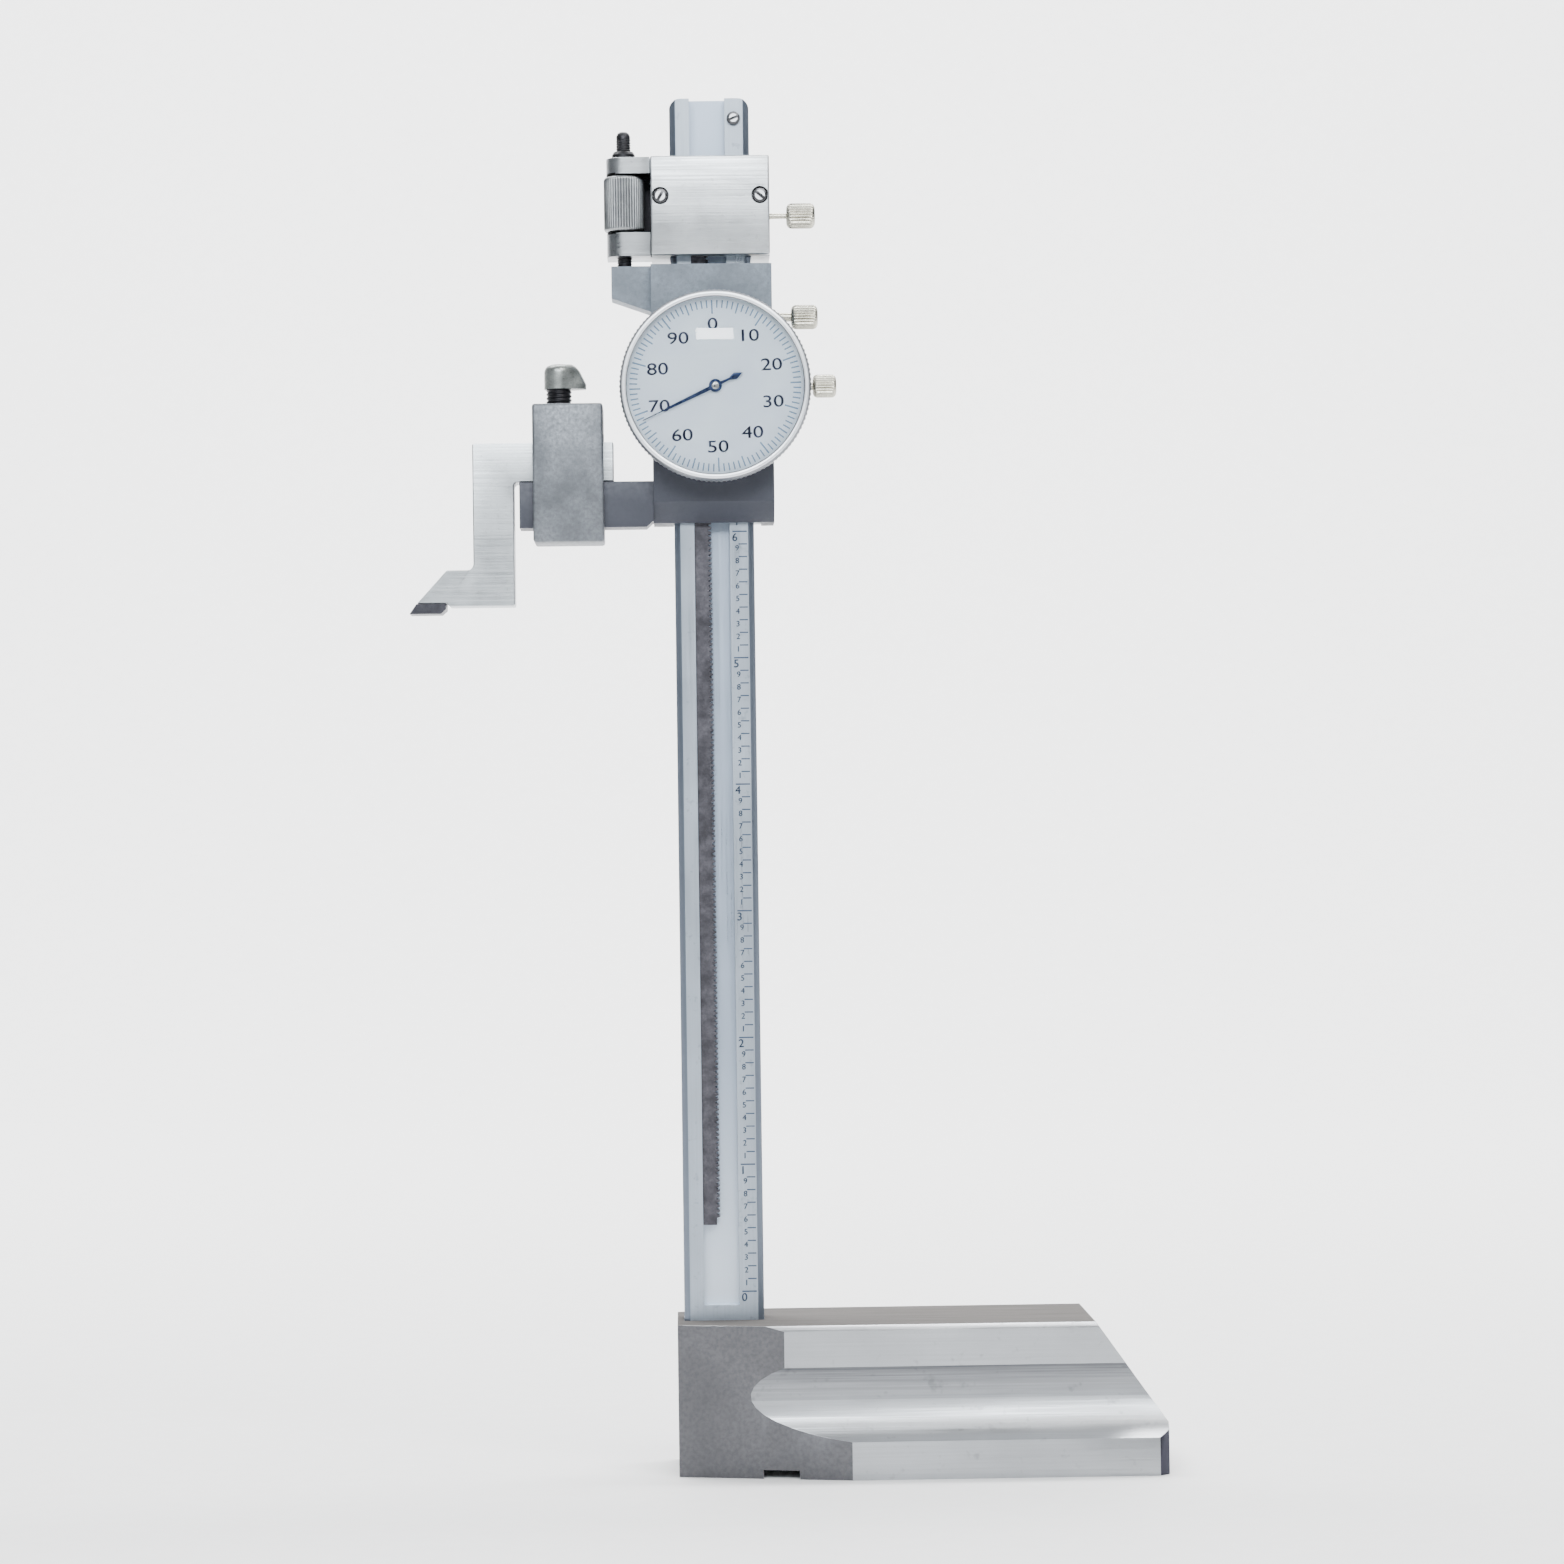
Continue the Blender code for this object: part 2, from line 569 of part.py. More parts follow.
def make_rack(stand):
    """The toothed strip let into the left side of the channel; its teeth face right."""
    root = RACK_LINE - 1.25 * PINION_MODULE
    tip = RACK_LINE + PINION_ADDENDUM
    half = TOOTH_SHARE * RACK_PITCH / 2
    half_root = half + (RACK_LINE - root) * tan(PRESSURE_ANGLE)
    half_tip = half - (tip - RACK_LINE) * tan(PRESSURE_ANGLE)
    first = int((RACK_FOOT + half_root - DRIVE_Z) / RACK_PITCH)
    last = int((RACK_TOP - half_root - DRIVE_Z) / RACK_PITCH) - 1
    outline = [(CHANNEL_LEFT + FIT, RACK_TOP), (CHANNEL_LEFT + FIT, RACK_FOOT), (root, RACK_FOOT)]
    for tooth in range(first, last + 1):
        z = DRIVE_Z + (tooth + 0.5) * RACK_PITCH
        outline += [(root, z - half_root), (tip, z - half_tip), (tip, z + half_tip), (root, z + half_root)]
    outline += [(root, RACK_TOP)]
    rack = piece("rack", prism(outline, "Y", RACK_FRONT, RACK_BACK), "rack_steel", stand)
    _, height, shank = RACK_SCREW
    seat, tip_y = COLUMN_BACK - height - 0.15, RACK_FRONT + 0.9
    for name, z in zip(("lower", "upper"), rack_screw_places()):
        place = (rack_middle(), z)
        cut(rack, rod("Y", place, shank + THREAD, tip_y - 0.2, RACK_BACK + 1))
        slotted_screw(f"rack_screw_{name}", RACK_SCREW, "Y", place, seat, tip_y, stand, "black_steel")


# ---------------------------------------------------------------- slider


def back_screw_places():
    inset = 6.0
    left = -(LEFT_CHEEK + SLIDER_SIDE) / 2
    right = (RIGHT_CHEEK + SLIDER_SIDE) / 2
    return [(x, z) for z in (SLIDER_FOOT + inset, SLIDER_TOP - inset) for x in (left, right)]


def gib_screw_places():
    return (SLIDER_FOOT + 0.2 * SLIDER_HEIGHT, SLIDER_FOOT + 0.62 * SLIDER_HEIGHT)


def case_screw_places():
    return (DIAL_X - CASE_SCREW_OFFSET, DIAL_X + CASE_SCREW_OFFSET)


def make_slider(slider):
    side, back = SLIDER_SIDE, CHEEK_BACK
    plan = [
        (-side, SLIDER_FRONT), (side, SLIDER_FRONT), (side, back), (RIGHT_CHEEK, back),
        (RIGHT_CHEEK, SLIDER_INNER), (-LEFT_CHEEK, SLIDER_INNER), (-LEFT_CHEEK, back), (-side, back),
    ]
    over = 2.0
    made = piece("slider_body", prism(plan, "Z", SLIDER_FOOT, SLIDER_TOP + over), "cast_steel", slider)

    inside = -(side + LEFT_CHEEK) / 2
    jaw = [
        (-JAW_REACH, JAW_FOOT), (-side - 1.4, JAW_FOOT), (-side - 0.2, SLIDER_FOOT + 0.2),
        (inside, SLIDER_FOOT + 0.2), (inside, JAW_TOP), (-JAW_REACH, JAW_TOP),
    ]
    join(made, prism(jaw, "Y", JAW_Y - JAW_THICKNESS / 2, JAW_Y + JAW_THICKNESS / 2))
    lug = [
        (LUG_LEFT, SLIDER_TOP + over / 2), (LUG_LEFT, SLIDER_TOP - LUG_TIP),
        (-side, SLIDER_TOP - LUG_ROOT), (inside, SLIDER_TOP - LUG_ROOT), (inside, SLIDER_TOP + over / 2),
    ]
    join(made, prism(lug, "Y", FINE_Y - YOKE_RADIUS, FINE_Y + YOKE_RADIUS))
    reach = JAW_REACH + 5
    cut(made, block((-reach, SLIDER_FRONT - 5, SLIDER_TOP), (reach, CHEEK_BACK + 5, SLIDER_TOP + 9)))

    index_y = SLIDER_INNER - INDEX_LEDGE
    bevel = [
        (index_y, SLIDER_FOOT - 1.0), (index_y, SLIDER_FOOT), (SLIDER_FRONT, SLIDER_FOOT + INDEX_BEVEL),
        (SLIDER_FRONT - 2, SLIDER_FOOT + INDEX_BEVEL), (SLIDER_FRONT - 2, SLIDER_FOOT - 1.0),
    ]
    cut(made, prism(bevel, "X", -side, side + 3))

    cut(made, rod("Y", (PINION_X, DRIVE_Z), BUSH_RADIUS + FIT, SLIDER_FRONT - 1, SLIDER_INNER + 1))
    for x in case_screw_places():
        cut(made, rod("Y", (x, DIAL_Z), CASE_SCREW[2] + THREAD, SLIDER_FRONT - 1, SLIDER_FRONT + 3.6))
    for place in back_screw_places():
        cut(made, rod("Y", place, BACK_SCREW[2] + THREAD, back - 5.2, back + 1, sides=16))
    for z in gib_screw_places():
        cut(made, rod("X", (0, z), GIB_SCREW_RADIUS + THREAD, RIGHT_CHEEK - 1, side + 1, sides=16))
    cut(made, rod("X", (0, SLIDER_CLAMP_Z), SLIDER_CLAMP[0] + THREAD, RIGHT_CHEEK - 1, side + 1))
    cut(made, rod("Z", (FINE_X, FINE_Y), FINE_RADIUS + FIT, FINE_FOOT - 0.2, SLIDER_TOP + 1))


def make_slider_fittings(slider):
    plate_back = CHEEK_BACK + FIT + BACK_PLATE
    low = (-SLIDER_SIDE + 0.1, CHEEK_BACK + FIT, SLIDER_FOOT + 0.4)
    high = (SLIDER_SIDE - 0.1, plate_back, SLIDER_TOP - 0.4)
    plate = piece("slider_back_plate", block(low, high, edge=0.3), "ground_steel", slider)
    for number, place in enumerate(back_screw_places(), 1):
        cut(plate, rod("Y", place, BACK_SCREW[2] + THREAD, CHEEK_BACK, plate_back + 1, sides=16))
        name = f"back_plate_screw_{number}"
        slotted_screw(name, BACK_SCREW, "Y", place, plate_back + FIT, CHEEK_BACK - 4.8, slider)

    half = COLUMN_DEPTH / 2 - COLUMN_EDGE
    low = (COLUMN_SIDE + SLIDE, -half, SLIDER_FOOT + 1)
    piece("gib", block(low, (GIB_OUTER, half, SLIDER_TOP - 1), edge=0.15), "brass", slider)
    for name, z in zip(("lower", "upper"), gib_screw_places()):
        start, end = GIB_OUTER + FIT, SLIDER_SIDE - 0.2
        solid = rod("X", (0, z), GIB_SCREW_RADIUS, start, end, 16, 0.15)
        made = piece(f"gib_screw_{name}", solid, "black_steel", slider)
        cut(made, slot("X", (0, z), GIB_SCREW_RADIUS, 0.6, end, 1, 0.3))

    front, back = SLIDER_FRONT + 0.1, SLIDER_INNER - 0.1
    bush = tube("Y", (PINION_X, DRIVE_Z), DRIVE_ARBOR + TURN, BUSH_RADIUS, front, back)
    piece("drive_bush", bush, "brass", slider)


def make_case(slider):
    dial = (DIAL_X, DIAL_Z)
    edge = 0.4
    profile = [
        (0, CASE_BACK), (CASE_RADIUS - edge, CASE_BACK), (CASE_RADIUS, CASE_BACK - edge),
        (CASE_RADIUS, CASE_FRONT), (CASE_BORE, CASE_FRONT), (CASE_BORE, CASE_INSIDE), (0, CASE_INSIDE),
    ]
    case = piece("dial_case", turned(profile, "Y", dial, 60), "plated_steel", slider)
    cut(case, rod("Y", (PINION_X, DRIVE_Z), DRIVE_ARBOR + 2 * TURN, CASE_INSIDE - 1, CASE_BACK + 1))
    for x in case_screw_places():
        cut(case, rod("Y", (x, DIAL_Z), CASE_SCREW[2] + THREAD, CASE_INSIDE - 1, CASE_BACK + 1))
    for place in pillar_places():
        cut(case, rod("Y", place, PILLAR_SCREW[2] + THREAD, CASE_INSIDE - 1, CASE_BACK + 1, sides=16))
    for place in ((DIAL_X, DIAL_Z), (TAKEUP_X, TAKEUP_Z)):
        cut(case, rod("Y", place, CENTRE_ARBOR + TURN, CASE_INSIDE - 1, CASE_BACK - 0.4, sides=16))
    start = DIAL_X + CASE_BORE - 1
    bore = BEZEL_CLAMP[0] + THREAD
    cut(case, rod("X", (BEZEL_CLAMP_Y, DIAL_Z), bore, start, start + CASE_WALL + 2, sides=16))

    for name, x in zip(("left", "right"), case_screw_places()):
        seat = CASE_INSIDE - FIT
        slotted_screw(f"case_screw_{name}", CASE_SCREW, "Y", (x, DIAL_Z), seat, SLIDER_FRONT + 3.2, slider)


def pillar_places():
    turns = [radians(angle) for angle in (35, 145, 215, 325)]
    return [(DIAL_X + PILLAR_CIRCLE * cos(turn), DIAL_Z + PILLAR_CIRCLE * sin(turn)) for turn in turns]


def make_movement(slider):
    """The plate over the wheels, on four pillars; it holds the front pivots of the three arbors."""
    disc = rod("Y", (DIAL_X, DIAL_Z), SKIRT_BORE - 0.5, PLATE_FRONT, PLATE_BACK, 40)
    plate = piece("movement_plate", disc, "brass", slider)
    for place in pillar_places():
        cut(plate, rod("Y", place, PILLAR_SCREW[2] + THREAD, PLATE_FRONT - 1, PLATE_BACK + 1, sides=16))
    for place, radius in arbor_places():
        cut(plate, rod("Y", place, radius + TURN, PLATE_FRONT - 1, PLATE_BACK + 1))
    for number, place in enumerate(pillar_places(), 1):
        bore = PILLAR_SCREW[2] + THREAD
        pillar = tube("Y", place, bore, PILLAR_RADIUS, PLATE_BACK + FIT, CASE_INSIDE - FIT, sides=16)
        piece(f"movement_pillar_{number}", pillar, "brass", slider)
        seat, tip = PLATE_FRONT - FIT, CASE_BACK - 0.2
        slotted_screw(f"movement_screw_{number}", PILLAR_SCREW, "Y", place, seat, tip, slider)


def arbor_places():
    drive, centre, takeup = (PINION_X, DRIVE_Z), (DIAL_X, DIAL_Z), (TAKEUP_X, TAKEUP_Z)
    return [(drive, DRIVE_ARBOR), (centre, CENTRE_ARBOR), (takeup, CENTRE_ARBOR)]


def make_fine_screw(slider):
    taper = FINE_TOP - FINE_TAPER
    profile = [(0, FINE_FOOT), (FINE_RADIUS, FINE_FOOT), (FINE_RADIUS, taper)]
    profile += [(0.6 * FINE_RADIUS, FINE_TOP), (0, FINE_TOP)]
    piece("fine_screw", turned(profile, "Z", (FINE_X, FINE_Y), 24), "black_steel", slider)


# ---------------------------------------------------------------- dial train


def wheel(name, place, phase, bore, owner, finish="brass"):
    addendum = 0.8 * WHEEL_MODULE
    outline = gear_outline(WHEEL_TEETH, WHEEL_MODULE, place, phase, addendum, 1.2 * WHEEL_MODULE)
    made = piece(name, prism(outline, "Y", WHEEL_FRONT, WHEEL_BACK), finish, owner)
    return cut(made, rod("Y", place, bore, WHEEL_FRONT - 1, WHEEL_BACK + 1))


def make_drive(drive):
    """The arbor whose pinion rolls on the rack, and the wheel on its front end."""
    place = (PINION_X, DRIVE_Z)
    toward_rack = pi
    dedendum = 1.2 * PINION_MODULE
    outline = gear_outline(PINION_TEETH, PINION_MODULE, place, toward_rack, PINION_ADDENDUM, dedendum)
    pinion = prism(outline, "Y", RACK_FRONT, RACK_BACK - 0.15)
    arbor = piece("pinion_arbor", pinion, "rack_steel", drive)
    join(arbor, rod("Y", place, DRIVE_ARBOR, PLATE_FRONT + 0.1, RACK_BACK - 0.4))
    wheel("drive_wheel", place, toward(place, (DIAL_X, DIAL_Z)), DRIVE_ARBOR + FIT, drive)


def make_pointer(pointer):
    dial = (DIAL_X, DIAL_Z)
    module = WHEEL_MODULE
    phase = toward(dial, (PINION_X, DRIVE_Z)) + pi / CENTRE_TEETH  # a gap faces the drive wheel
    outline = gear_outline(CENTRE_TEETH, module, dial, phase, 0.8 * module, 1.2 * module)
    pinion = prism(outline, "Y", WHEEL_FRONT - 0.2, WHEEL_BACK + 0.2)
    arbor = piece("pointer_arbor", pinion, "plated_steel", pointer)
    join(arbor, rod("Y", dial, CENTRE_ARBOR, POINTER_FRONT - 0.1, CASE_INSIDE + 0.3))

    lean = pi / 2 - POINTER_TURN
    ahead = Vector((cos(lean), sin(lean)))
    across = Vector((-ahead.y, ahead.x))

    def at(along, aside):
        place = Vector(dial) + ahead * along + across * aside
        return (place.x, place.y)

    hub, blade, tail = POINTER_HUB, POINTER_BLADE, POINTER_TAIL
    half = [(POINTER_LENGTH, 0.07), (blade, 0.11), (blade - 0.7, 0.24), (hub, 0.4), (-hub, 0.3)]
    half += [(-tail + 2.9, 0.22), (-tail + 1.6, 0.7)]
    outline = [at(along, -aside) for along, aside in half] + [at(-tail, 0)]
    outline += [at(along, aside) for along, aside in reversed(half)]
    made = piece("pointer", prism(outline, "Y", POINTER_FRONT, POINTER_BACK), "blued_steel", pointer)
    join(made, rod("Y", dial, hub, POINTER_FRONT - 0.2, POINTER_BACK + 0.15, sides=32))
    cut(made, rod("Y", dial, CENTRE_ARBOR + FIT, POINTER_FRONT - 1, POINTER_BACK + 1))


def make_takeup(takeup):
    """The wheel on the far side of the centre pinion, whose hairspring takes up the backlash."""
    place = (TAKEUP_X, TAKEUP_Z)
    wheel("takeup_wheel", place, toward(place, (DIAL_X, DIAL_Z)), CENTRE_ARBOR + FIT, takeup)
    arbor = rod("Y", place, CENTRE_ARBOR, PLATE_FRONT + 0.1, CASE_INSIDE + 0.3)
    piece("takeup_arbor", arbor, "plated_steel", takeup)
    turns, steps = 3.5, 22
    inner, growth, strip = CENTRE_ARBOR + 0.25, 0.95, 0.16
    count = int(turns * steps)
    inside, outside = [], []
    for step in range(count + 1):
        angle = 2 * pi * step / steps
        radius = inner + growth * step / steps
        for path, reach in ((inside, radius), (outside, radius + strip)):
            path.append((place[0] + reach * cos(angle), place[1] + reach * sin(angle)))
    back = CASE_INSIDE - 0.12
    piece("hairspring", prism(inside + outside[::-1], "Y", back - 0.35, back), "blued_steel", takeup)


# ---------------------------------------------------------------- bezel


def make_bezel(bezel):
    dial = (DIAL_X, DIAL_Z)
    edge = 0.6
    profile = [
        (SKIRT_RADIUS, SKIRT_BACK), (SKIRT_BORE, SKIRT_BACK), (SKIRT_BORE, SEAT), (CAVITY_RADIUS, SEAT),
        (CAVITY_RADIUS, LIP_BACK), (WINDOW_RADIUS, LIP_BACK), (WINDOW_RADIUS, LIP_BACK - 0.15),
        (WINDOW_RADIUS + edge, BEZEL_FRONT), (BEZEL_RADIUS - edge, BEZEL_FRONT),
        (BEZEL_RADIUS, BEZEL_FRONT + edge), (BEZEL_RADIUS, BEZEL_BACK), (SKIRT_RADIUS, BEZEL_BACK),
    ]
    piece("bezel", turned(profile, "Y", dial, 72), "chromed_steel", bezel)
    crystal = rod("Y", dial, CAVITY_RADIUS - FIT, CRYSTAL_FRONT, CRYSTAL_BACK, sides=72)
    piece("crystal", crystal, "clear_glass", bezel)
    disc = rod("Y", dial, CAVITY_RADIUS - FIT, FACE_FRONT, FACE_BACK, sides=72)
    face = piece("dial_face", disc, "dial_white", bezel)
    cut(face, rod("Y", dial, CENTRE_ARBOR + 0.4, FACE_FRONT - 1, FACE_BACK + 1))


# ---------------------------------------------------------------- thumb screws


def thumb_screw(name, y, z, sizes, places, owner):
    """A thumb screw along X: its thread, a thinner neck and a knob with rounded ends."""
    thread, neck, knob = sizes
    tip, shoulder, knob_start, knob_end = places
    edge = 0.22 * knob
    profile = [
        (0, tip), (thread * 0.7, tip), (thread, tip + thread * 0.3), (thread, shoulder), (neck, shoulder),
        (neck, knob_start), (knob - edge, knob_start), (knob, knob_start + edge), (knob, knob_end - edge),
        (knob - edge, knob_end), (0, knob_end),
    ]
    piece(name, turned(profile, "X", (y, z), 24), "plated_steel", owner)


# ---------------------------------------------------------------- carriage


def make_carriage(carriage):
    side, inner = CARRIAGE_SIDE, CARRIAGE_INNER
    back = CHEEK_BACK + CARRIAGE_BACK
    front = SLIDER_INNER
    lobe = (FINE_X, FINE_Y)
    web_front = FINE_Y + NUT_RADIUS + 2 * TURN
    web_back = web_front + YOKE_WEB
    plan = [(side, front), (side, back), (-side, back), (-side, web_back), (FINE_X - YOKE_RADIUS, web_back)]
    plan += arc(lobe, YOKE_RADIUS, pi, 3 * pi / 2, 8)
    plan += [(-side - 0.15, FINE_Y - YOKE_RADIUS), (-side - 0.15, front), (-inner, front)]
    plan += [(-inner, CHEEK_BACK), (inner, CHEEK_BACK), (inner, front)]
    made = piece("carriage_block", prism(plan, "Z", CARRIAGE_FOOT, CARRIAGE_TOP), "ground_steel", carriage)
    window_low = (FINE_X - 9, FINE_Y - 9, CARRIAGE_FOOT + YOKE_LOWER)
    window_high = (-side + 0.3, web_front, CARRIAGE_TOP - YOKE_UPPER)
    cut(made, block(window_low, window_high))
    cut(made, rod("Z", lobe, FINE_RADIUS + TURN, CARRIAGE_FOOT - 1, CARRIAGE_FOOT + YOKE_LOWER + 1))
    cut(made, rod("Z", lobe, yoke_bush_radius() + FIT, CARRIAGE_TOP - YOKE_UPPER - 1, CARRIAGE_TOP + 1))
    for x in (-PLATE_SCREW_X, PLATE_SCREW_X):
        cut(made, rod("Y", (x, PLATE_SCREW_Z), CARRIAGE_SCREW[2] + THREAD, front - 1, front + 5, sides=16))
    bore = CARRIAGE_CLAMP[0] + THREAD
    cut(made, rod("X", (0, CARRIAGE_CLAMP_Z), bore, inner - 1, side + 1, sides=16))

    low, high = (-side, PLATE_FACE, CARRIAGE_FOOT), (side, PLATE_REAR, CARRIAGE_TOP)
    plate = piece("carriage_plate", block(low, high, edge=0.3), "ground_steel", carriage)
    head, height, shank = CARRIAGE_SCREW
    seat = PLATE_FACE + height + 0.1
    for name, x in (("left", -PLATE_SCREW_X), ("right", PLATE_SCREW_X)):
        cut(plate, rod("Y", (x, PLATE_SCREW_Z), shank + THREAD, PLATE_FACE, PLATE_REAR + 1, sides=16))
        cut(plate, rod("Y", (x, PLATE_SCREW_Z), head + 0.15, PLATE_FACE - 1, seat))
        place = (x, PLATE_SCREW_Z)
        slotted_screw(f"plate_screw_{name}", CARRIAGE_SCREW, "Y", place, seat - FIT, front + 4.6, carriage)

    flange = CARRIAGE_TOP + 0.05
    bore, sleeve = FINE_RADIUS + TURN, yoke_bush_radius()
    foot = CARRIAGE_TOP - YOKE_UPPER + 0.1
    profile = [
        (bore, foot), (sleeve, foot), (sleeve, flange), (sleeve + 0.3, flange),
        (sleeve + 0.3, flange + 0.9), (sleeve, flange + 1.4), (bore, flange + 1.4),
    ]
    piece("yoke_bush", turned(profile, "Z", lobe, 24), "black_steel", carriage)


def yoke_bush_radius():
    return FINE_RADIUS + TURN + 0.4


def make_nut(nut):
    edge = 0.6
    bore = FINE_RADIUS + TURN
    profile = [
        (bore, NUT_FOOT), (NUT_RADIUS - edge, NUT_FOOT), (NUT_RADIUS, NUT_FOOT + edge),
        (NUT_RADIUS, NUT_TOP - edge), (NUT_RADIUS - edge, NUT_TOP), (bore, NUT_TOP),
    ]
    piece("fine_nut", turned(profile, "Z", (FINE_X, FINE_Y), 40), "plated_steel", nut)


# ---------------------------------------------------------------- scriber


def make_clamp(clamp, clamp_turn):
    half = BOX_THICKNESS / 2
    low, high = (BOX_LEFT, JAW_Y - half, BOX_FOOT), (BOX_RIGHT, JAW_Y + half, BOX_TOP)
    made = piece("clamp_box", block(low, high, edge=0.5), "cast_steel", clamp)
    reach = JAW_THICKNESS / 2 + SLIDE
    cut(made, block((BOX_LEFT - 2, JAW_Y - reach, WINDOW_FOOT), (BOX_RIGHT + 2, JAW_Y + reach, WINDOW_TOP)))
    cut(made, rod("Z", (CLAMP_X, JAW_Y), CLAMP_RADIUS + THREAD, WINDOW_TOP - 1, BOX_TOP + 1, sides=32))
    half_x, half_y = PAD_LENGTH / 2, SCRIBER_THICKNESS / 2 - 0.4
    low, high = (CLAMP_X - half_x, JAW_Y - half_y, PAD_FOOT), (CLAMP_X + half_x, JAW_Y + half_y, PAD_TOP)
    pad = block(low, high, edge=0.2)
    piece("pressure_pad", pad, "brass", clamp)

    screw = rod("Z", (CLAMP_X, JAW_Y), CLAMP_RADIUS, PAD_TOP + SLIDE, HEAD_FOOT + 0.8, sides=32, edge=0.4)
    made = piece("clamp_screw", screw, "black_steel", clamp_turn)
    head = piece("clamp_knob", clamp_knob_solid(), "plated_steel", clamp_turn)
    roof = HEAD_FOOT + 0.8 + FIT
    cut(head, rod("Z", (CLAMP_X, JAW_Y), CLAMP_RADIUS + FIT, HEAD_FOOT - 1, roof, sides=32))


def clamp_knob_solid():
    """A round knob drawn out to one side into a short thumb lever."""
    radius, nose, reach = KNOB_RADIUS, KNOB_NOSE, KNOB_REACH
    spread = acos((radius - nose) / reach)
    plan = arc((CLAMP_X, JAW_Y), radius, spread, 2 * pi - spread, 24)
    plan += arc((CLAMP_X + reach, JAW_Y), nose, -spread, spread, 10)
    bm = prism(plan, "Z", HEAD_FOOT, HEAD_TOP)
    crown = [edge for edge in bm.edges if all(abs(v.co.z - HEAD_TOP) < 1e-6 for v in edge.verts)]
    bmesh.ops.bevel(bm, geom=crown, offset=1.1, segments=4, affect="EDGES", profile=0.5)
    return bm


def make_scriber(scriber):
    arm_right = SCRIBER_LEFT + SCRIBER_ARM
    shelf = SOLE + FOOT_HEIGHT
    toe_x = SCRIBER_LEFT - FOOT_REACH
    heel = toe_x - FOOT_SLOPE
    seat = SOLE + 0.6
    fillet, notch = 1.3, 0.8
    outline = [(SCRIBER_RIGHT, SCRIBER_FOOT_Z), (SCRIBER_RIGHT, SCRIBER_TOP), (SCRIBER_LEFT, SCRIBER_TOP)]
    outline += arc((SCRIBER_LEFT - fillet, shelf + fillet), fillet, 0, -pi / 2, 5)
    outline += [(toe_x, shelf), (heel, seat), (toe_x, seat), (toe_x + 0.6, SOLE), (arm_right, SOLE)]
    outline += arc((arm_right + notch, SCRIBER_FOOT_Z - notch), notch, pi, pi / 2, 5)
    half = SCRIBER_THICKNESS / 2
    piece("scriber", prism(outline, "Y", JAW_Y - half, JAW_Y + half), "ground_steel", scriber)

    top = seat - FIT
    edge = top - TIP_THICKNESS
    outline = [(heel - 0.1, top), (heel - 1.5, edge), (toe_x - 1.2, edge)]
    outline += [(toe_x - 0.2, edge + 0.9), (toe_x - 0.2, top)]
    piece("carbide_tip", prism(outline, "Y", JAW_Y - half, JAW_Y + half), "carbide", scriber)


# ---------------------------------------------------------------- assembly


def main():
    clear_scene()
    stand = body("stand")
    make_base(stand)
    make_column(stand)
    make_rack(stand)

    slider = body("slider", (0, 0, SLIDER_FOOT), stand)
    make_slider(slider)
    make_slider_fittings(slider)
    make_case(slider)
    make_movement(slider)
    make_fine_screw(slider)

    make_drive(body("drive", (PINION_X, 0, DRIVE_Z), slider))
    make_pointer(body("pointer", (DIAL_X, 0, DIAL_Z), slider))
    make_takeup(body("takeup", (TAKEUP_X, 0, TAKEUP_Z), slider))
    make_bezel(body("bezel", (DIAL_X, 0, DIAL_Z), slider))

    bezel_clamp = body("bezel_clamp", (0, BEZEL_CLAMP_Y, DIAL_Z), slider)
    reaches = (SKIRT_RADIUS + 0.12, CASE_RADIUS + 0.3, BEZEL_RADIUS + 0.25, BEZEL_RADIUS + 5)
    places = [DIAL_X + reach for reach in reaches]
    thumb_screw("bezel_clamp_screw", BEZEL_CLAMP_Y, DIAL_Z, BEZEL_CLAMP, places, bezel_clamp)

    slider_clamp = body("slider_clamp", (0, 0, SLIDER_CLAMP_Z), slider)
    places = (GIB_OUTER + FIT, SLIDER_SIDE + 0.6, SLIDER_SIDE + 4.0, SLIDER_SIDE + 9.4)
    thumb_screw("slider_clamp_screw", 0, SLIDER_CLAMP_Z, SLIDER_CLAMP, places, slider_clamp)

    carriage = body("carriage", (0, 0, CARRIAGE_FOOT), slider)
    make_carriage(carriage)
    make_nut(body("nut", (FINE_X, FINE_Y, NUT_FOOT), carriage))
    carriage_clamp = body("carriage_clamp", (0, 0, CARRIAGE_CLAMP_Z), carriage)
    places = (COLUMN_SIDE + SLIDE, CARRIAGE_SIDE + 0.3, CARRIAGE_SIDE + 3.5, CARRIAGE_SIDE + 9.3)
    thumb_screw("carriage_clamp_screw", 0, CARRIAGE_CLAMP_Z, CARRIAGE_CLAMP, places, carriage_clamp)

    clamp = body("clamp", (CLAMP_X, JAW_Y, JAW_TOP), slider)
    make_clamp(clamp, body("clamp_turn", (CLAMP_X, JAW_Y, BOX_TOP), clamp))
    make_scriber(body("scriber", (SCRIBER_RIGHT, JAW_Y, SCRIBER_FOOT_Z), clamp))


main()
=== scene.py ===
import bpy
import bmesh
from functools import reduce
from math import acos, cos, pi, radians, sin
from mathutils import Matrix, Vector


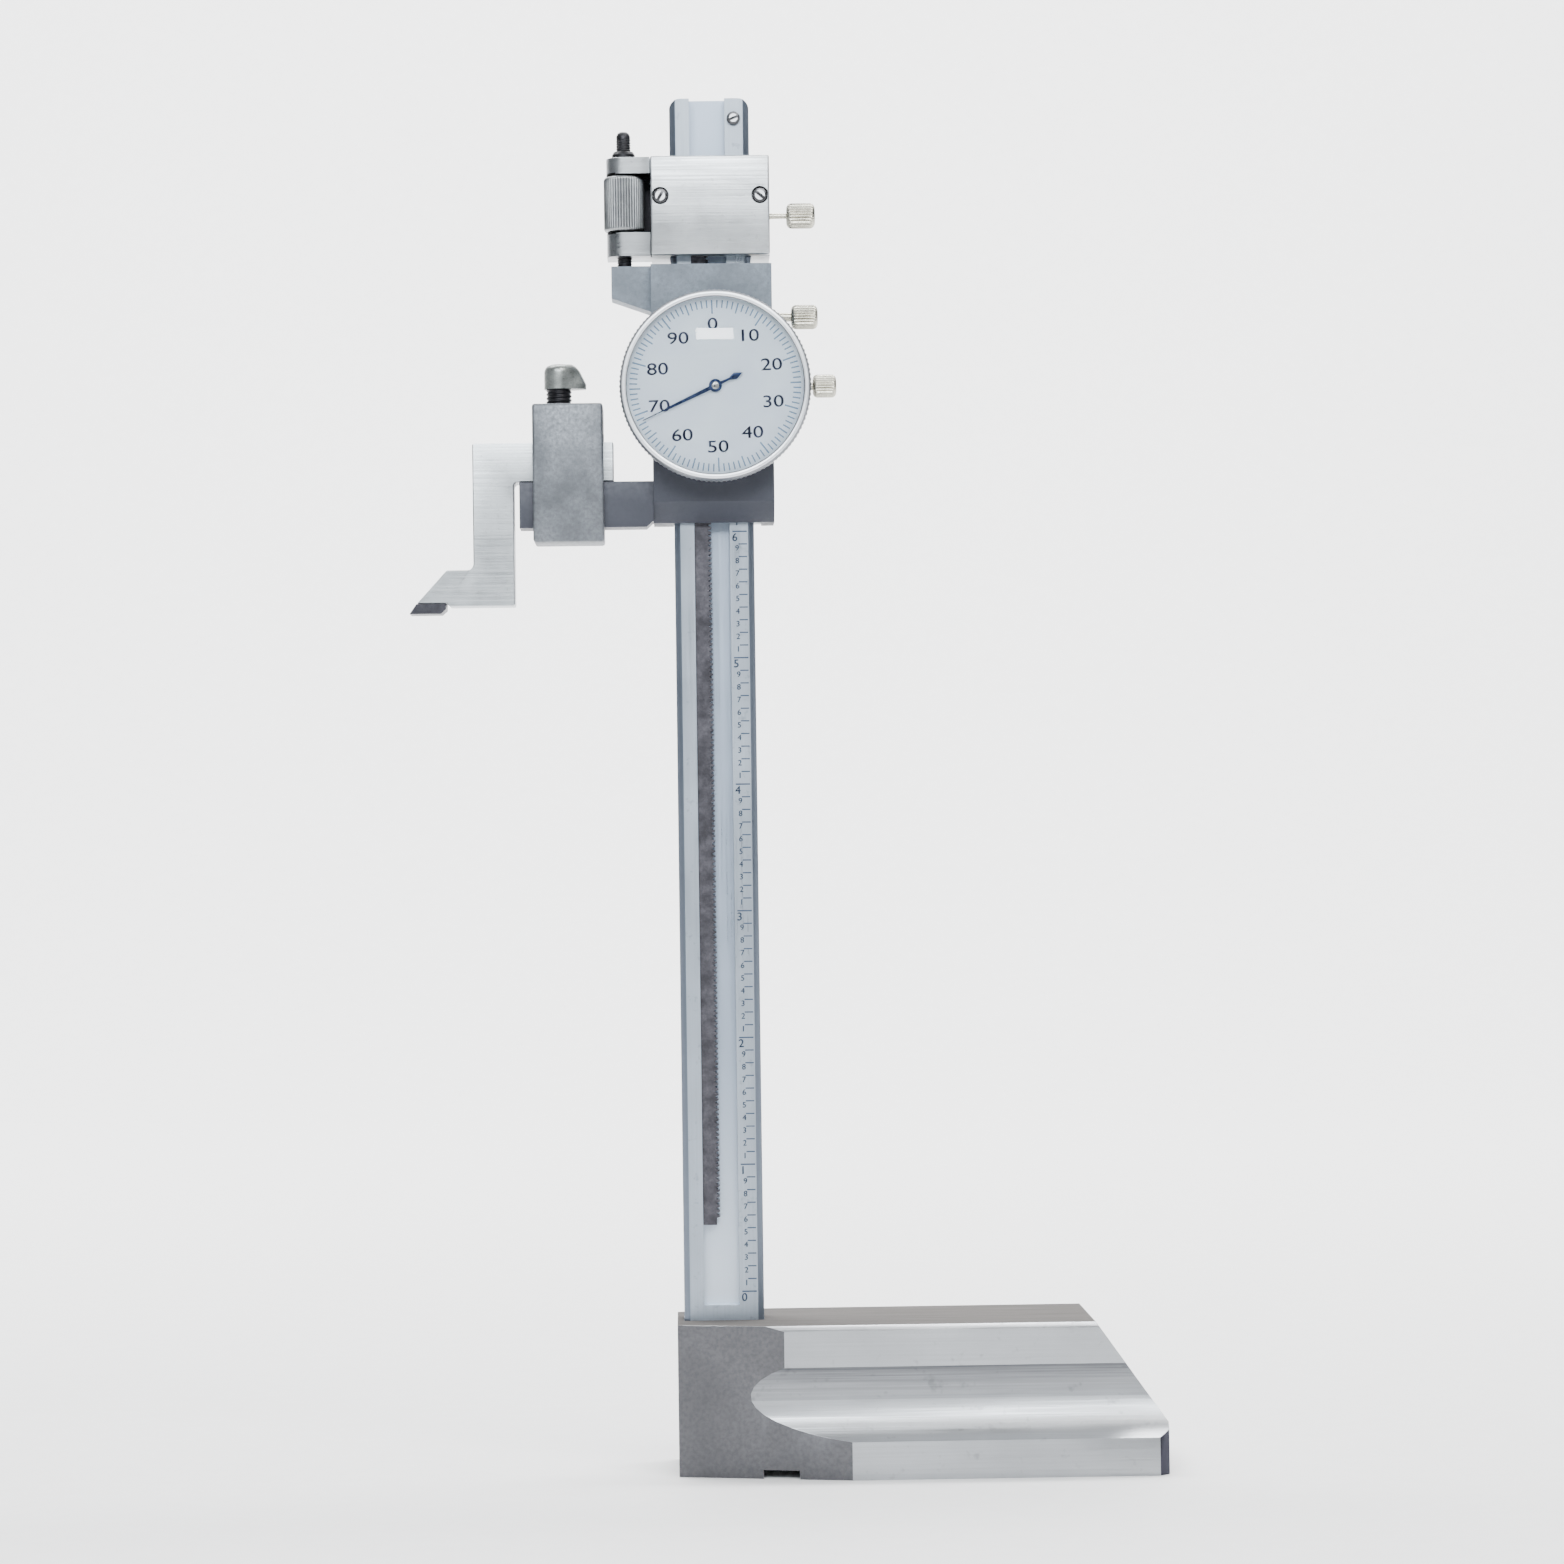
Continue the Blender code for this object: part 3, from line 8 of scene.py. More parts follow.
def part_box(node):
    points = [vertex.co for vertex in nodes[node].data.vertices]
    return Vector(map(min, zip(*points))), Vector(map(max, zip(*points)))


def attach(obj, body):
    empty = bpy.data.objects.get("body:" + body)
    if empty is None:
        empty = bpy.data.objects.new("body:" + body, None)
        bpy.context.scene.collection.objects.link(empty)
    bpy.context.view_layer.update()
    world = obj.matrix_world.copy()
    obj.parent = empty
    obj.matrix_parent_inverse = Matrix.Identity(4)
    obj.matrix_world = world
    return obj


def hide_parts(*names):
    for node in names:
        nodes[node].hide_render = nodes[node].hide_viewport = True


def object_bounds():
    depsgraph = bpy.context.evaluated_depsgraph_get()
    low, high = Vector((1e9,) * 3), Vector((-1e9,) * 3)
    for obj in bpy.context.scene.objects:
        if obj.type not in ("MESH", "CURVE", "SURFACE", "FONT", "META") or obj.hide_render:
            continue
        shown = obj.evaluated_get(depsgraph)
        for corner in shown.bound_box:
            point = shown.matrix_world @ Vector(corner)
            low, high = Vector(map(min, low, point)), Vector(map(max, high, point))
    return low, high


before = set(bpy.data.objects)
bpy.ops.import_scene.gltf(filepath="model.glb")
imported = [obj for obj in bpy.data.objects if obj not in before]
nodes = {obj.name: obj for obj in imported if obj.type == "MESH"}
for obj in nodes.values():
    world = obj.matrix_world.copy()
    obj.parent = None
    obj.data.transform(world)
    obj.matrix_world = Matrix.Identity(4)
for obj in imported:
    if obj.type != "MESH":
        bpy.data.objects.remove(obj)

MM = 0.001
INCH = 0.0254
cad_bounds = [list(corner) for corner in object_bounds()]

# The two directions across each axis, as indices into a place
ACROSS = {"X": (1, 2), "Y": (0, 2), "Z": (0, 1)}


def span(node):
    """A node's lowest and highest corner."""
    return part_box(node)


def middle(node):
    low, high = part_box(node)
    return (low + high) / 2


def centre_across(node, axis):
    """The middle of a node's box in the two directions across an axis."""
    low, high = span(node)
    return tuple((low[i] + high[i]) / 2 for i in ACROSS[axis])


def half_width(node):
    """Half a node's size along X, which is the radius of one that is round about Y or Z."""
    low, high = span(node)
    return (high.x - low.x) / 2


# ------------------------------------------------------------------ shader helpers

# Where a Mix node keeps its first and second input and its result, for each kind of data
MIX_SOCKETS = {"RGBA": (6, 7, 2), "FLOAT": (2, 3, 0)}


class Shader:
    """Builds a Principled material from a few noise layers in object coordinates."""

    def __init__(self, name, colour, roughness, metallic=1.0):
        self.material = bpy.data.materials.new(name)
        self.material.use_nodes = True
        self.tree = self.material.node_tree
        self.principled = self.tree.nodes["Principled BSDF"]
        self.coordinates = self.tree.nodes.new("ShaderNodeTexCoord").outputs["Object"]
        self.set("Base Color", (*colour, 1.0))
        self.set("Roughness", roughness)
        self.set("Metallic", metallic)

    def set(self, socket, value):
        self.principled.inputs[socket].default_value = value

    def link(self, output, socket):
        self.tree.links.new(output, self.principled.inputs[socket])

    def source(self, socket):
        """What already feeds a socket of the Principled node."""
        return self.principled.inputs[socket].links[0].from_socket

    def node(self, kind, **values):
        made = self.tree.nodes.new(kind)
        for key, value in values.items():
            setattr(made, key, value)
        return made

    def put(self, socket, value):
        """Sets a node's socket to a colour or number, or links an output to it."""
        if isinstance(value, tuple):
            socket.default_value = (*value, 1.0)
        elif isinstance(value, (int, float)):
            socket.default_value = value
        else:
            self.tree.links.new(value, socket)

    def noise(self, cells, detail=3.0, roughness=0.5):
        """Noise with so many cells to the metre, the same all ways or along X, Y and Z."""
        mapping = self.node("ShaderNodeMapping")
        mapping.inputs["Scale"].default_value = cells if hasattr(cells, "__len__") else (cells,) * 3
        self.tree.links.new(self.coordinates, mapping.inputs["Vector"])
        texture = self.node("ShaderNodeTexNoise")
        texture.inputs["Scale"].default_value = 1.0
        texture.inputs["Detail"].default_value = detail
        texture.inputs["Roughness"].default_value = roughness
        self.tree.links.new(mapping.outputs["Vector"], texture.inputs["Vector"])
        return texture.outputs["Fac"]

    def stretch(self, value, low, high, start=0.35, end=0.65):
        """Maps start to end onto low to high; the defaults are the middle of a noise."""
        made = self.node("ShaderNodeMapRange")
        made.inputs["From Min"].default_value = start
        made.inputs["From Max"].default_value = end
        made.inputs["To Min"].default_value = low
        made.inputs["To Max"].default_value = high
        self.tree.links.new(value, made.inputs["Value"])
        return made.outputs["Result"]

    def math(self, operation, *values):
        made = self.node("ShaderNodeMath", operation=operation)
        for socket, value in zip(made.inputs, values):
            self.put(socket, value)
        return made.outputs[0]

    def above(self, value, limit):
        return self.math("GREATER_THAN", value, limit)

    def below(self, value, limit):
        return self.math("LESS_THAN", value, limit)

    def both(self, first, second):
        return self.math("MULTIPLY", first, second)

    def size(self, value):
        return self.math("ABSOLUTE", value)

    def mix(self, factor, first, second, kind="RGBA"):
        made = self.node("ShaderNodeMix", data_type=kind)
        into_first, into_second, result = MIX_SOCKETS[kind]
        self.put(made.inputs[0], factor)
        self.put(made.inputs[into_first], first)
        self.put(made.inputs[into_second], second)
        return made.outputs[result]

    def cover(self, mask, colour):
        """Lays a colour over the present one where the mask is 1."""
        self.link(self.mix(mask, self.source("Base Color"), colour), "Base Color")

    def bump(self, height, depth):
        made = self.node("ShaderNodeBump")
        made.inputs["Strength"].default_value = 1.0
        made.inputs["Distance"].default_value = depth
        self.tree.links.new(height, made.inputs["Height"])
        self.link(made.outputs["Normal"], "Normal")

    def place(self):
        """Object coordinates as separate X, Y and Z."""
        parts = self.node("ShaderNodeSeparateXYZ")
        self.tree.links.new(self.coordinates, parts.inputs[0])
        return parts.outputs

    def normal(self):
        """The face's own direction as separate X, Y and Z."""
        parts = self.node("ShaderNodeSeparateXYZ")
        direction = self.node("ShaderNodeNewGeometry").outputs["True Normal"]
        self.tree.links.new(direction, parts.inputs[0])
        return parts.outputs


def shade(colour, factor):
    return tuple(min(1.0, channel * factor) for channel in colour)


def worn_metal(
    name, colour, roughness, grain, depth=1.2e-5, spread=0.07, mottle=0.10, cells=90, metallic=1.0
):
    """Steel with a directional grain, cloudy patches in tone and small marks from use.

    depth is the bump's height in metres, spread is how far the grain changes the roughness,
    mottle is how far the tone varies and cells is the number of clouds to the metre.
    """
    made = Shader(name, colour, roughness, metallic)
    lines = made.noise(grain, detail=4.0, roughness=0.6)
    clouds = made.noise(cells, detail=4.0, roughness=0.55)
    marks = made.noise(cells * 9, detail=2.0, roughness=0.7)
    darker, lighter = shade(colour, 1 - mottle), shade(colour, 1 + mottle / 2)
    cloudy = made.mix(made.stretch(clouds, 0.0, 1.0), darker, lighter)
    lined = made.mix(made.stretch(lines, 0.0, 0.5), cloudy, shade(colour, 1 - 1.6 * mottle))
    marked = made.mix(made.stretch(marks, 0.0, 0.55, start=0.62, end=0.75), lined, shade(colour, 0.55))
    made.link(marked, "Base Color")
    streaks = made.stretch(lines, roughness - spread, roughness + spread)
    haze = made.stretch(clouds, -0.03, 0.05)
    made.link(made.math("ADD", streaks, haze), "Roughness")
    made.bump(made.math("ADD", lines, made.math("MULTIPLY", marks, 0.5)), depth)
    return made


# ------------------------------------------------------------------ materials

# Cells to the metre for a grain that runs along one axis, and for two that run nowhere
ALONG_X = (30, 2600, 2600)
ALONG_Z = (2600, 2600, 25)
EVEN = (2600, 2600, 2600)
COARSE = (1300, 1300, 1300)


def slider_material():
    """Dull satin steel with painted shade over its lower part, under the dial and towards the jaw."""
    made = worn_metal(
        "slider_satin_steel", (0.150, 0.180, 0.215), 0.46, COARSE, mottle=0.22, cells=170, metallic=0.3
    )
    low, high = span("slider_body")
    start = low.z + 0.25 * (high.z - low.z)
    # painted shade: the lower part of the slider, under the dial and at the jaw, is darkened
    lower = made.stretch(made.place()["Z"], 1.0, 0.0, start, start + 12 * MM)
    made.cover(lower, (0.030, 0.033, 0.046))
    return made.material


def column_material():
    """Satin strips, a channel between them with painted light that pales it towards its foot, and painted
    shade on the sides.
    """
    made = worn_metal(
        "column_satin_steel", (0.36, 0.41, 0.47), 0.36, ALONG_Z, depth=1e-5, cells=60, metallic=0.8
    )
    place, low = made.place(), span("column")[0]
    sunk = made.above(place["Y"], low.y + 0.25 * MM)
    # painted light: the channel's colour brightens towards the foot of the column
    foot = made.stretch(place["Z"], 1.0, 0.0, low.z + 5 * MM, low.z + 60 * MM)
    made.cover(sunk, made.mix(foot, (0.37, 0.44, 0.54), (0.62, 0.69, 0.77)))
    # painted shade on the column's side faces
    shaded_sides = made.above(made.size(made.normal()["X"]), 0.5)
    made.cover(shaded_sides, (0.17, 0.20, 0.25))
    return made.material


def bezel_material():
    """Satin chrome in front, with painted shade on the coin edge and other faces turned aside from the front.
    """
    made = worn_metal(
        "bezel_chrome", (0.83, 0.86, 0.90), 0.34, EVEN, depth=0.2e-5, spread=0.03, mottle=0.04, metallic=0.7
    )
    # painted shade: faces turned away from the front, the coin edge among them, are darkened
    edge = made.below(made.size(made.normal()["Y"]), 0.86)
    made.cover(edge, (0.17, 0.18, 0.20))
    return made.material


def base_material():
    """Ground steel along the base. Its top is duller and no metal, the upper half of its grooves
    and the foot of its right end carry painted shade, and its tapered sides and left end are dark, rough and
    speckled."""
    ground, dark_rough = (0.42, 0.435, 0.455), (0.125, 0.125, 0.134)
    made = worn_metal("base_ground_steel", ground, 0.36, ALONG_X, depth=2.5e-5, cells=40)
    place, normal = made.place(), made.normal()
    lines = made.noise((40, 2600, 2600), detail=5.0)

    top = made.above(normal["Z"], 0.98)
    made.cover(top, made.mix(made.stretch(lines, 0, 1), (0.112, 0.106, 0.102), (0.160, 0.153, 0.148)))

    # painted shade: the downward-facing upper half of each groove is darkened
    groove = made.both(made.below(normal["Z"], 0.10), made.above(made.size(normal["Z"]), 0.02))
    upper_groove_shade = made.stretch(place["Z"], 0.0, 1.0, 12 * MM, 24.5 * MM)
    made.cover(made.both(groove, made.both(upper_groove_shade, made.stretch(lines, 0.75, 1.0))), (0.030, 0.032, 0.040))

    # painted shade on the foot of the right end
    shaded_right_foot = made.both(made.above(normal["X"], 0.5), made.below(place["Z"], 12.5 * MM))
    made.cover(shaded_right_foot, (0.050, 0.050, 0.066))

    leaning, outward = made.above(made.size(normal["X"]), 0.25), made.above(made.size(normal["Y"]), 0.95)
    rough_faces = made.math("MAXIMUM", made.both(leaning, outward), made.below(normal["X"], -0.99))
    pits = made.noise(COARSE, detail=3.0)
    patches = made.noise(70, detail=3.0)
    dull = made.mix(made.stretch(patches, 0, 1), shade(dark_rough, 0.88), shade(dark_rough, 1.10))
    made.cover(rough_faces, made.mix(made.stretch(pits, 0, 0.5), dull, shade(dark_rough, 0.75)))
    pitted = made.stretch(pits, 0.42, 0.56)
    made.link(made.mix(rough_faces, made.source("Roughness"), pitted, kind="FLOAT"), "Roughness")

    metal = made.math("SUBTRACT", 1.0, top)
    made.link(metal, "Metallic")
    made.link(made.math("MULTIPLY", metal, 0.5), "Specular IOR Level")
    return made.material


def block_material():
    """Brushed steel, with painted shade in black inside the nut's window."""
    made = worn_metal(
        "carriage_block_steel", (0.40, 0.42, 0.435), 0.36, ALONG_X, depth=2.2e-5, mottle=0.18
    )
    place = made.place()
    low, high = span("fine_nut")
    reach = 0.6 * MM
    # painted shade: the faces inside the nut's window are made black
    window_shade_limits = (
        made.above(place["Y"], low.y + 1.0 * MM),
        made.below(place["X"], high.x + 3 * reach),
        made.above(place["Z"], low.z - reach),
        made.below(place["Z"], high.z + reach),
        made.below(place["Y"], high.y + reach),
    )
    made.cover(reduce(made.both, window_shade_limits), (0.020, 0.020, 0.023))
    return made.material


def simple(name, colour, roughness, grain=EVEN, **options):
    return worn_metal(name, colour, roughness, grain, **options).material


def glass_material():
    made = Shader("crystal_glass", (0.97, 0.985, 1.0), 0.02, 0.0)
    made.set("Transmission Weight", 1.0)
    made.set("IOR", 1.46)
    smear = made.noise((140, 140, 60), detail=4.0)
    made.link(made.stretch(smear, 0.0, 0.05), "Roughness")
    return made.material


def paint_material(name, colour, roughness, mottle=0.03):
    made = Shader(name, colour, roughness, 0.0)
    clouds = made.noise(160, detail=3.0)
    grain = made.noise(9000, detail=2.0)
    tone = made.mix(made.stretch(clouds, 0, 1), shade(colour, 1 - mottle), shade(colour, 1 + mottle))
    made.link(tone, "Base Color")
    made.link(made.stretch(grain, roughness - 0.05, roughness + 0.05), "Roughness")
    made.bump(grain, 2e-6)
    return made.material


MATERIALS = {
    "base": base_material(),
    "column": column_material(),
    "rack": simple(
        "rack_oiled_steel", (0.085, 0.083, 0.095), 0.42, COARSE, depth=3e-5, mottle=0.35, cells=420
    ),
    "slider": slider_material(),
    "plate": simple("brushed_steel", (0.58, 0.61, 0.63), 0.38, ALONG_X, depth=3e-5, mottle=0.20),
    "block": block_material(),
    "scriber": simple(
        "scriber_ground_steel", (0.46, 0.49, 0.51), 0.38, ALONG_X, depth=2e-5, mottle=0.16, cells=130
    ),
    "box": simple(
        "clamp_box_steel", (0.165, 0.18, 0.20), 0.46, COARSE, depth=2e-5, mottle=0.30, cells=210, metallic=0.7
    ),
    "nickel": simple("nickel_plate", (0.42, 0.42, 0.41), 0.28, depth=0.5e-5, mottle=0.12, cells=260),
    "knob": simple(
        "worn_nickel", (0.30, 0.32, 0.31), 0.36, depth=0.8e-5, mottle=0.35, cells=300, metallic=0.8
    ),
    "nut": simple("satin_nickel", (0.36, 0.375, 0.385), 0.38, depth=0.5e-5, mottle=0.2, cells=300),
    "thumb": simple("warm_nickel", (0.56, 0.54, 0.46), 0.30, depth=0.5e-5, mottle=0.25, cells=330),
    # painted shade: the plate and stop screws are dark for the shade round their heads
    "screw": simple("screw_steel_painted_shade", (0.10, 0.10, 0.105), 0.32, depth=0.5e-5, mottle=0.25, cells=330),
    "chrome": bezel_material(),
    "black": simple("black_oxide", (0.022, 0.022, 0.026), 0.40, mottle=0.3, cells=400, metallic=0.6),
    "brass": simple("brass", (0.74, 0.56, 0.27), 0.30, mottle=0.12, cells=200),
    "blued": simple("blued_steel", (0.020, 0.040, 0.11), 0.30, mottle=0.2, cells=500, metallic=0.5),
    "carbide": simple("sintered_carbide", (0.060, 0.060, 0.070), 0.42, depth=1e-5, mottle=0.2, cells=600),
    "glass": glass_material(),
    "dial": paint_material("dial_white", (0.80, 0.895, 1.0), 0.42),
    "figures": paint_material("dial_figure_ink", (0.10, 0.115, 0.21), 0.5, 0.1),
    "divisions": paint_material("dial_division_ink", (0.17, 0.28, 0.43), 0.5, 0.1),
    "fill": paint_material("scale_fill", (0.03, 0.05, 0.09), 0.5, 0.1),
    "floor": paint_material("floor_paint", (0.86, 0.86, 0.86), 0.65, 0.01),
}


# ------------------------------------------------------------------ mesh helpers


def object_from(name, bm, look):
    """A smooth-shaded object in the scene, with one material."""
    mesh = bpy.data.meshes.new(name)
    bm.to_mesh(mesh)
    bm.free()
    mesh.shade_smooth()
    mesh.materials.append(MATERIALS[look])
    made = bpy.data.objects.new(name, mesh)
    bpy.context.scene.collection.objects.link(made)
    return made


def add_mesh(name, bm, look, body, replaces=(), sharp=32):
    """Adds a visible piece that rides on a body; edges over so many degrees stay sharp."""
    bmesh.ops.recalc_face_normals(bm, faces=bm.faces)
    piece = object_from(name, bm, look)
    piece.data.set_sharp_from_angle(angle=radians(sharp))
    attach(piece, body)
    if replaces:
        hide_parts(*replaces)


def point_on(axis, along, a, b):
    return {"X": (along, a, b), "Y": (a, along, b), "Z": (a, b, along)}[axis]


def point_round(axis, along, centre, reach, angle):
    return point_on(axis, along, centre[0] + reach * cos(angle), centre[1] + reach * sin(angle))


def join_rings(bm, rings):
    """Closes the sides between rings of as many vertices each, and the two ends."""
    for here, there in zip(rings, rings[1:]):
        for side in range(len(here)):
            after = (side + 1) % len(here)
            bm.faces.new((here[side], here[after], there[after], there[side]))
    bm.faces.new(rings[0])
    bm.faces.new(rings[-1][::-1])


def lathe(profile, axis, centre, sides, bm=None, ridges=0):
    """Spins a closed profile of (radius, along) round an axis; a third number is a knurl's depth."""
    bm = bm or bmesh.new()
    rings = []
    for radius, along, *knurl in profile:
        depth = knurl[0] if knurl else 0
        if radius == 0:
            rings.append([bm.verts.new(point_on(axis, along, *centre))] * sides)
            continue
        ring = []
        for step in range(sides):
            angle = 2 * pi * step / sides
            reach = radius - depth * abs(sin(angle * ridges / 2)) if depth else radius
            ring.append(bm.verts.new(point_round(axis, along, centre, reach, angle)))
        rings.append(ring)
    for here, there in zip(rings, rings[1:] + rings[:1]):
        for step in range(sides):
            after = (step + 1) % sides
            corners = list(dict.fromkeys((here[step], here[after], there[after], there[step])))
            if len(corners) > 2:
                bm.faces.new(corners)
    return bm


def prism(bm, outline, axis, low, high):
    join_rings(bm, [[bm.verts.new(point_on(axis, along, a, b)) for a, b in outline] for along in (low, high)])


def threaded(axis, centre, radius, low, high, pitch, depth, sides=36, rows_per_turn=6, ends=0.0):
    """A rod with a helical thread; its ends narrow by the given amount."""
    bm = bmesh.new()
    count = max(2, int((high - low) / pitch * rows_per_turn))
    rings = []
    for step in range(count + 1):
        along = low + (high - low) * step / count
        edge = min(along - low, high - along)
        narrow = max(0.0, ends - edge)
        ring = []
        for side in range(sides):
            turn = side / sides
            wave = abs(((along / pitch - turn) % 1.0) - 0.5) * 2
            reach = radius - narrow - depth * wave
            ring.append(bm.verts.new(point_round(axis, along, centre, reach, 2 * pi * turn)))
        rings.append(ring)
    join_rings(bm, rings)
    return bm


def text_into(bm, words, size, place, bold, turn=0.0, thickness=0.02 * MM, wide=1.0):
    """Adds raised figures that face -Y, centred on a place (x, y, z). Each is put in twice, a
    little to either side, which makes its strokes bolder."""
    curve = bpy.data.curves.new("figures", "FONT")
    curve.body = words
    curve.size = size
    curve.align_x = "CENTER"
    curve.align_y = "CENTER"
    curve.extrude = thickness / 2
    curve.resolution_u = 4
    holder = bpy.data.objects.new("figures", curve)
    bpy.context.scene.collection.objects.link(holder)
    bpy.context.view_layer.update()
    stand_up = Matrix.Rotation(pi / 2, 4, "X")
    spin = Matrix.Rotation(turn, 4, "Y")
    for aside in (-bold, bold):
        mesh = bpy.data.meshes.new_from_object(holder)
        shift = Matrix.Translation(Vector(place) + Vector((aside, 0, 0.6 * aside)))
        mesh.transform(shift @ spin @ stand_up @ Matrix.Diagonal((wide, 1, 1, 1)))
        bm.from_mesh(mesh)
        bpy.data.meshes.remove(mesh)
    bpy.data.objects.remove(holder)
    bpy.data.curves.remove(curve)


SMOOTH_BELOW = radians(28)
BEVEL_ABOVE = radians(38)
WELD_DISTANCE = 1e-6


def smooth_group():
    """A node group that shades a mesh smooth, except across its sharper edges."""
    group = bpy.data.node_groups.new("smooth_by_angle", "GeometryNodeTree")
    for way in ("INPUT", "OUTPUT"):
        group.interface.new_socket("Geometry", in_out=way, socket_type="NodeSocketGeometry")
    start, end = group.nodes.new("NodeGroupInput"), group.nodes.new("NodeGroupOutput")
    faces = group.nodes.new("GeometryNodeSetShadeSmooth")
    edges = group.nodes.new("GeometryNodeSetShadeSmooth")
    edges.domain = "EDGE"
    angle = group.nodes.new("GeometryNodeInputMeshEdgeAngle")
    small = group.nodes.new("FunctionNodeCompare")
    small.data_type, small.operation = "FLOAT", "LESS_THAN"
    small.inputs[1].default_value = SMOOTH_BELOW
    group.links.new(start.outputs[0], faces.inputs[0])
    group.links.new(faces.outputs[0], edges.inputs[0])
    group.links.new(angle.outputs["Unsigned Angle"], small.inputs[0])
    group.links.new(small.outputs[0], edges.inputs["Shade Smooth"])
    group.links.new(edges.outputs[0], end.inputs[0])
    return group


SMOOTH = smooth_group()


def dress(node, look, edge):
    """Gives a CAD node its material, broken edges and smooth round faces."""
    thing = nodes[node]
    thing.data.materials.clear()
    thing.data.materials.append(MATERIALS[look])
    weld = thing.modifiers.new("Weld", "WELD")
    weld.merge_threshold = WELD_DISTANCE
    if edge:
        bevel = thing.modifiers.new("Bevel", "BEVEL")
        bevel.width = edge
        bevel.segments = 1
        bevel.limit_method = "ANGLE"
        bevel.angle_limit = BEVEL_ABOVE
        bevel.use_clamp_overlap = True
    smooth = thing.modifiers.new("Smooth", "NODES")
    smooth.node_group = SMOOTH


# ------------------------------------------------------------------ CAD nodes that stay


def four(name):
    return [f"{name}_{n}" for n in range(1, 5)]


def pair(name, first="left", second="right"):
    return [f"{name}_{first}", f"{name}_{second}"]


DRESSED = {
    "base": ["base"],
    "column": ["column"],
    "rack": ["rack", "pinion_arbor"],
    "slider": ["slider_body"],
    "plate": ["slider_back_plate", "carriage_plate"],
    "block": ["carriage_block"],
    "scriber": ["scriber"],
    "box": ["clamp_box"],
    "nickel": [
        "pointer_arbor", "takeup_arbor",
        *four("back_plate_screw"), *four("movement_screw"), *pair("case_screw"),
    ],
    # painted shade: these screws take the dark screw colour for the shade round their heads
    "screw": ["stop_screw", *pair("plate_screw")],
    "black": [
        *pair("column_screw"), *pair("rack_screw", "lower", "upper"), *pair("gib_screw", "lower", "upper")
    ],
    "brass": [
        "gib", "drive_bush", "movement_plate", "drive_wheel", "takeup_wheel", "pressure_pad",
        *four("movement_pillar"),
    ],
    "blued": ["pointer", "hairspring"],
    "carbide": ["carbide_tip"],
    "dial": ["dial_face"],
}

# How wide the broken edges are, in millimetres; a plain node has none
EDGE = 0.06
WIDER_EDGES = {
    "base": 0.35, "column": 0.2, "slider_body": 0.25, "carriage_block": 0.3, "scriber": 0.2, "clamp_box": 0.12
}
PLAIN = {"rack", "pinion_arbor", "drive_wheel", "takeup_wheel", "pointer_arbor", "hairspring", "dial_face"}


def dress_cad():
    for look, names in DRESSED.items():
        for name in names:
            width = 0 if name in PLAIN else WIDER_EDGES.get(name, EDGE) * MM
            dress(name, look, width)


# ------------------------------------------------------------------ dial

SEAT_GAP = 0.05 * MM  # between the bezel and the glass and dial face that it holds


def make_bezel():
    """The rim with a coin edge, a bright rounded front and a seat for the glass."""
    low, high = span("bezel")
    outer = half_width("bezel")
    front, back = low.y, span("dial_case")[0].y - 0.2 * MM
    window = outer - 1.5 * MM
    seat = span("dial_face")[1].y + SEAT_GAP
    skirt, bore, skirt_back = outer - 3.4 * MM, outer - 4.4 * MM, high.y
    cavity = half_width("crystal") + SEAT_GAP
    lip = span("crystal")[0].y - SEAT_GAP
    ridge, nose, nose_steps = 0.16 * MM, 0.32 * MM, 8
    profile = [(skirt, skirt_back), (bore, skirt_back), (bore, seat), (cavity, seat), (cavity, lip)]
    profile += [(window, lip), (window, front + nose)]
    round_over = outer - 0.35 * MM - window
    for step in range(nose_steps + 1):
        turn = pi * step / nose_steps
        profile.append((window + round_over * (1 - cos(turn)) / 2, front + nose - nose * sin(turn)))
    profile += [(outer - 0.3 * MM, front + 0.55 * MM), (outer, front + 0.8 * MM, ridge)]
    profile += [(outer, front + (back - front) * 0.85, ridge), (outer - 0.25 * MM, back), (skirt, back)]
    bm = lathe(profile, "Y", centre_across("bezel", "Y"), 480, ridges=120)
    add_mesh("bezel_rim", bm, "chrome", "bezel", ["bezel"], sharp=50)


def make_crystal():
    """A glass with a slight crown, ground flat behind."""
    low, high = span("crystal")
    radius = half_width("crystal")
    crown, rings = 0.22 * MM, 8
    profile = [(0, low.y)]
    for step in range(1, rings + 1):
        share = step / rings
        profile.append((radius * share, low.y + crown * share**2))
    profile += [(radius, high.y), (0, high.y)]
    bm = lathe(profile, "Y", centre_across("crystal", "Y"), 128)
    add_mesh("crystal_glass", bm, "glass", "bezel", ["crystal"], sharp=40)


def make_case():
    """A cup with a rounded back and a hole in its floor."""
    low, high = span("dial_case")
    outer = half_width("dial_case")
    bore, floor, hole = outer - 1.6 * MM, high.y - 1.25 * MM, 1.2 * MM
    soft, soft_steps = 0.4 * MM, 4
    profile = [(hole, high.y), (outer - soft, high.y)]
    for step in range(1, soft_steps + 1):
        turn = pi / 2 * step / soft_steps
        profile.append((outer - soft * (1 - sin(turn)), high.y - soft * (1 - cos(turn))))
    profile += [(outer, low.y + 0.1 * MM), (outer - 0.1 * MM, low.y), (bore, low.y)]
    profile += [(bore, floor), (hole, floor)]
    bm = lathe(profile, "Y", centre_across("dial_case", "Y"), 144)
    add_mesh("dial_case_cup", bm, "nickel", "slider", ["dial_case"])


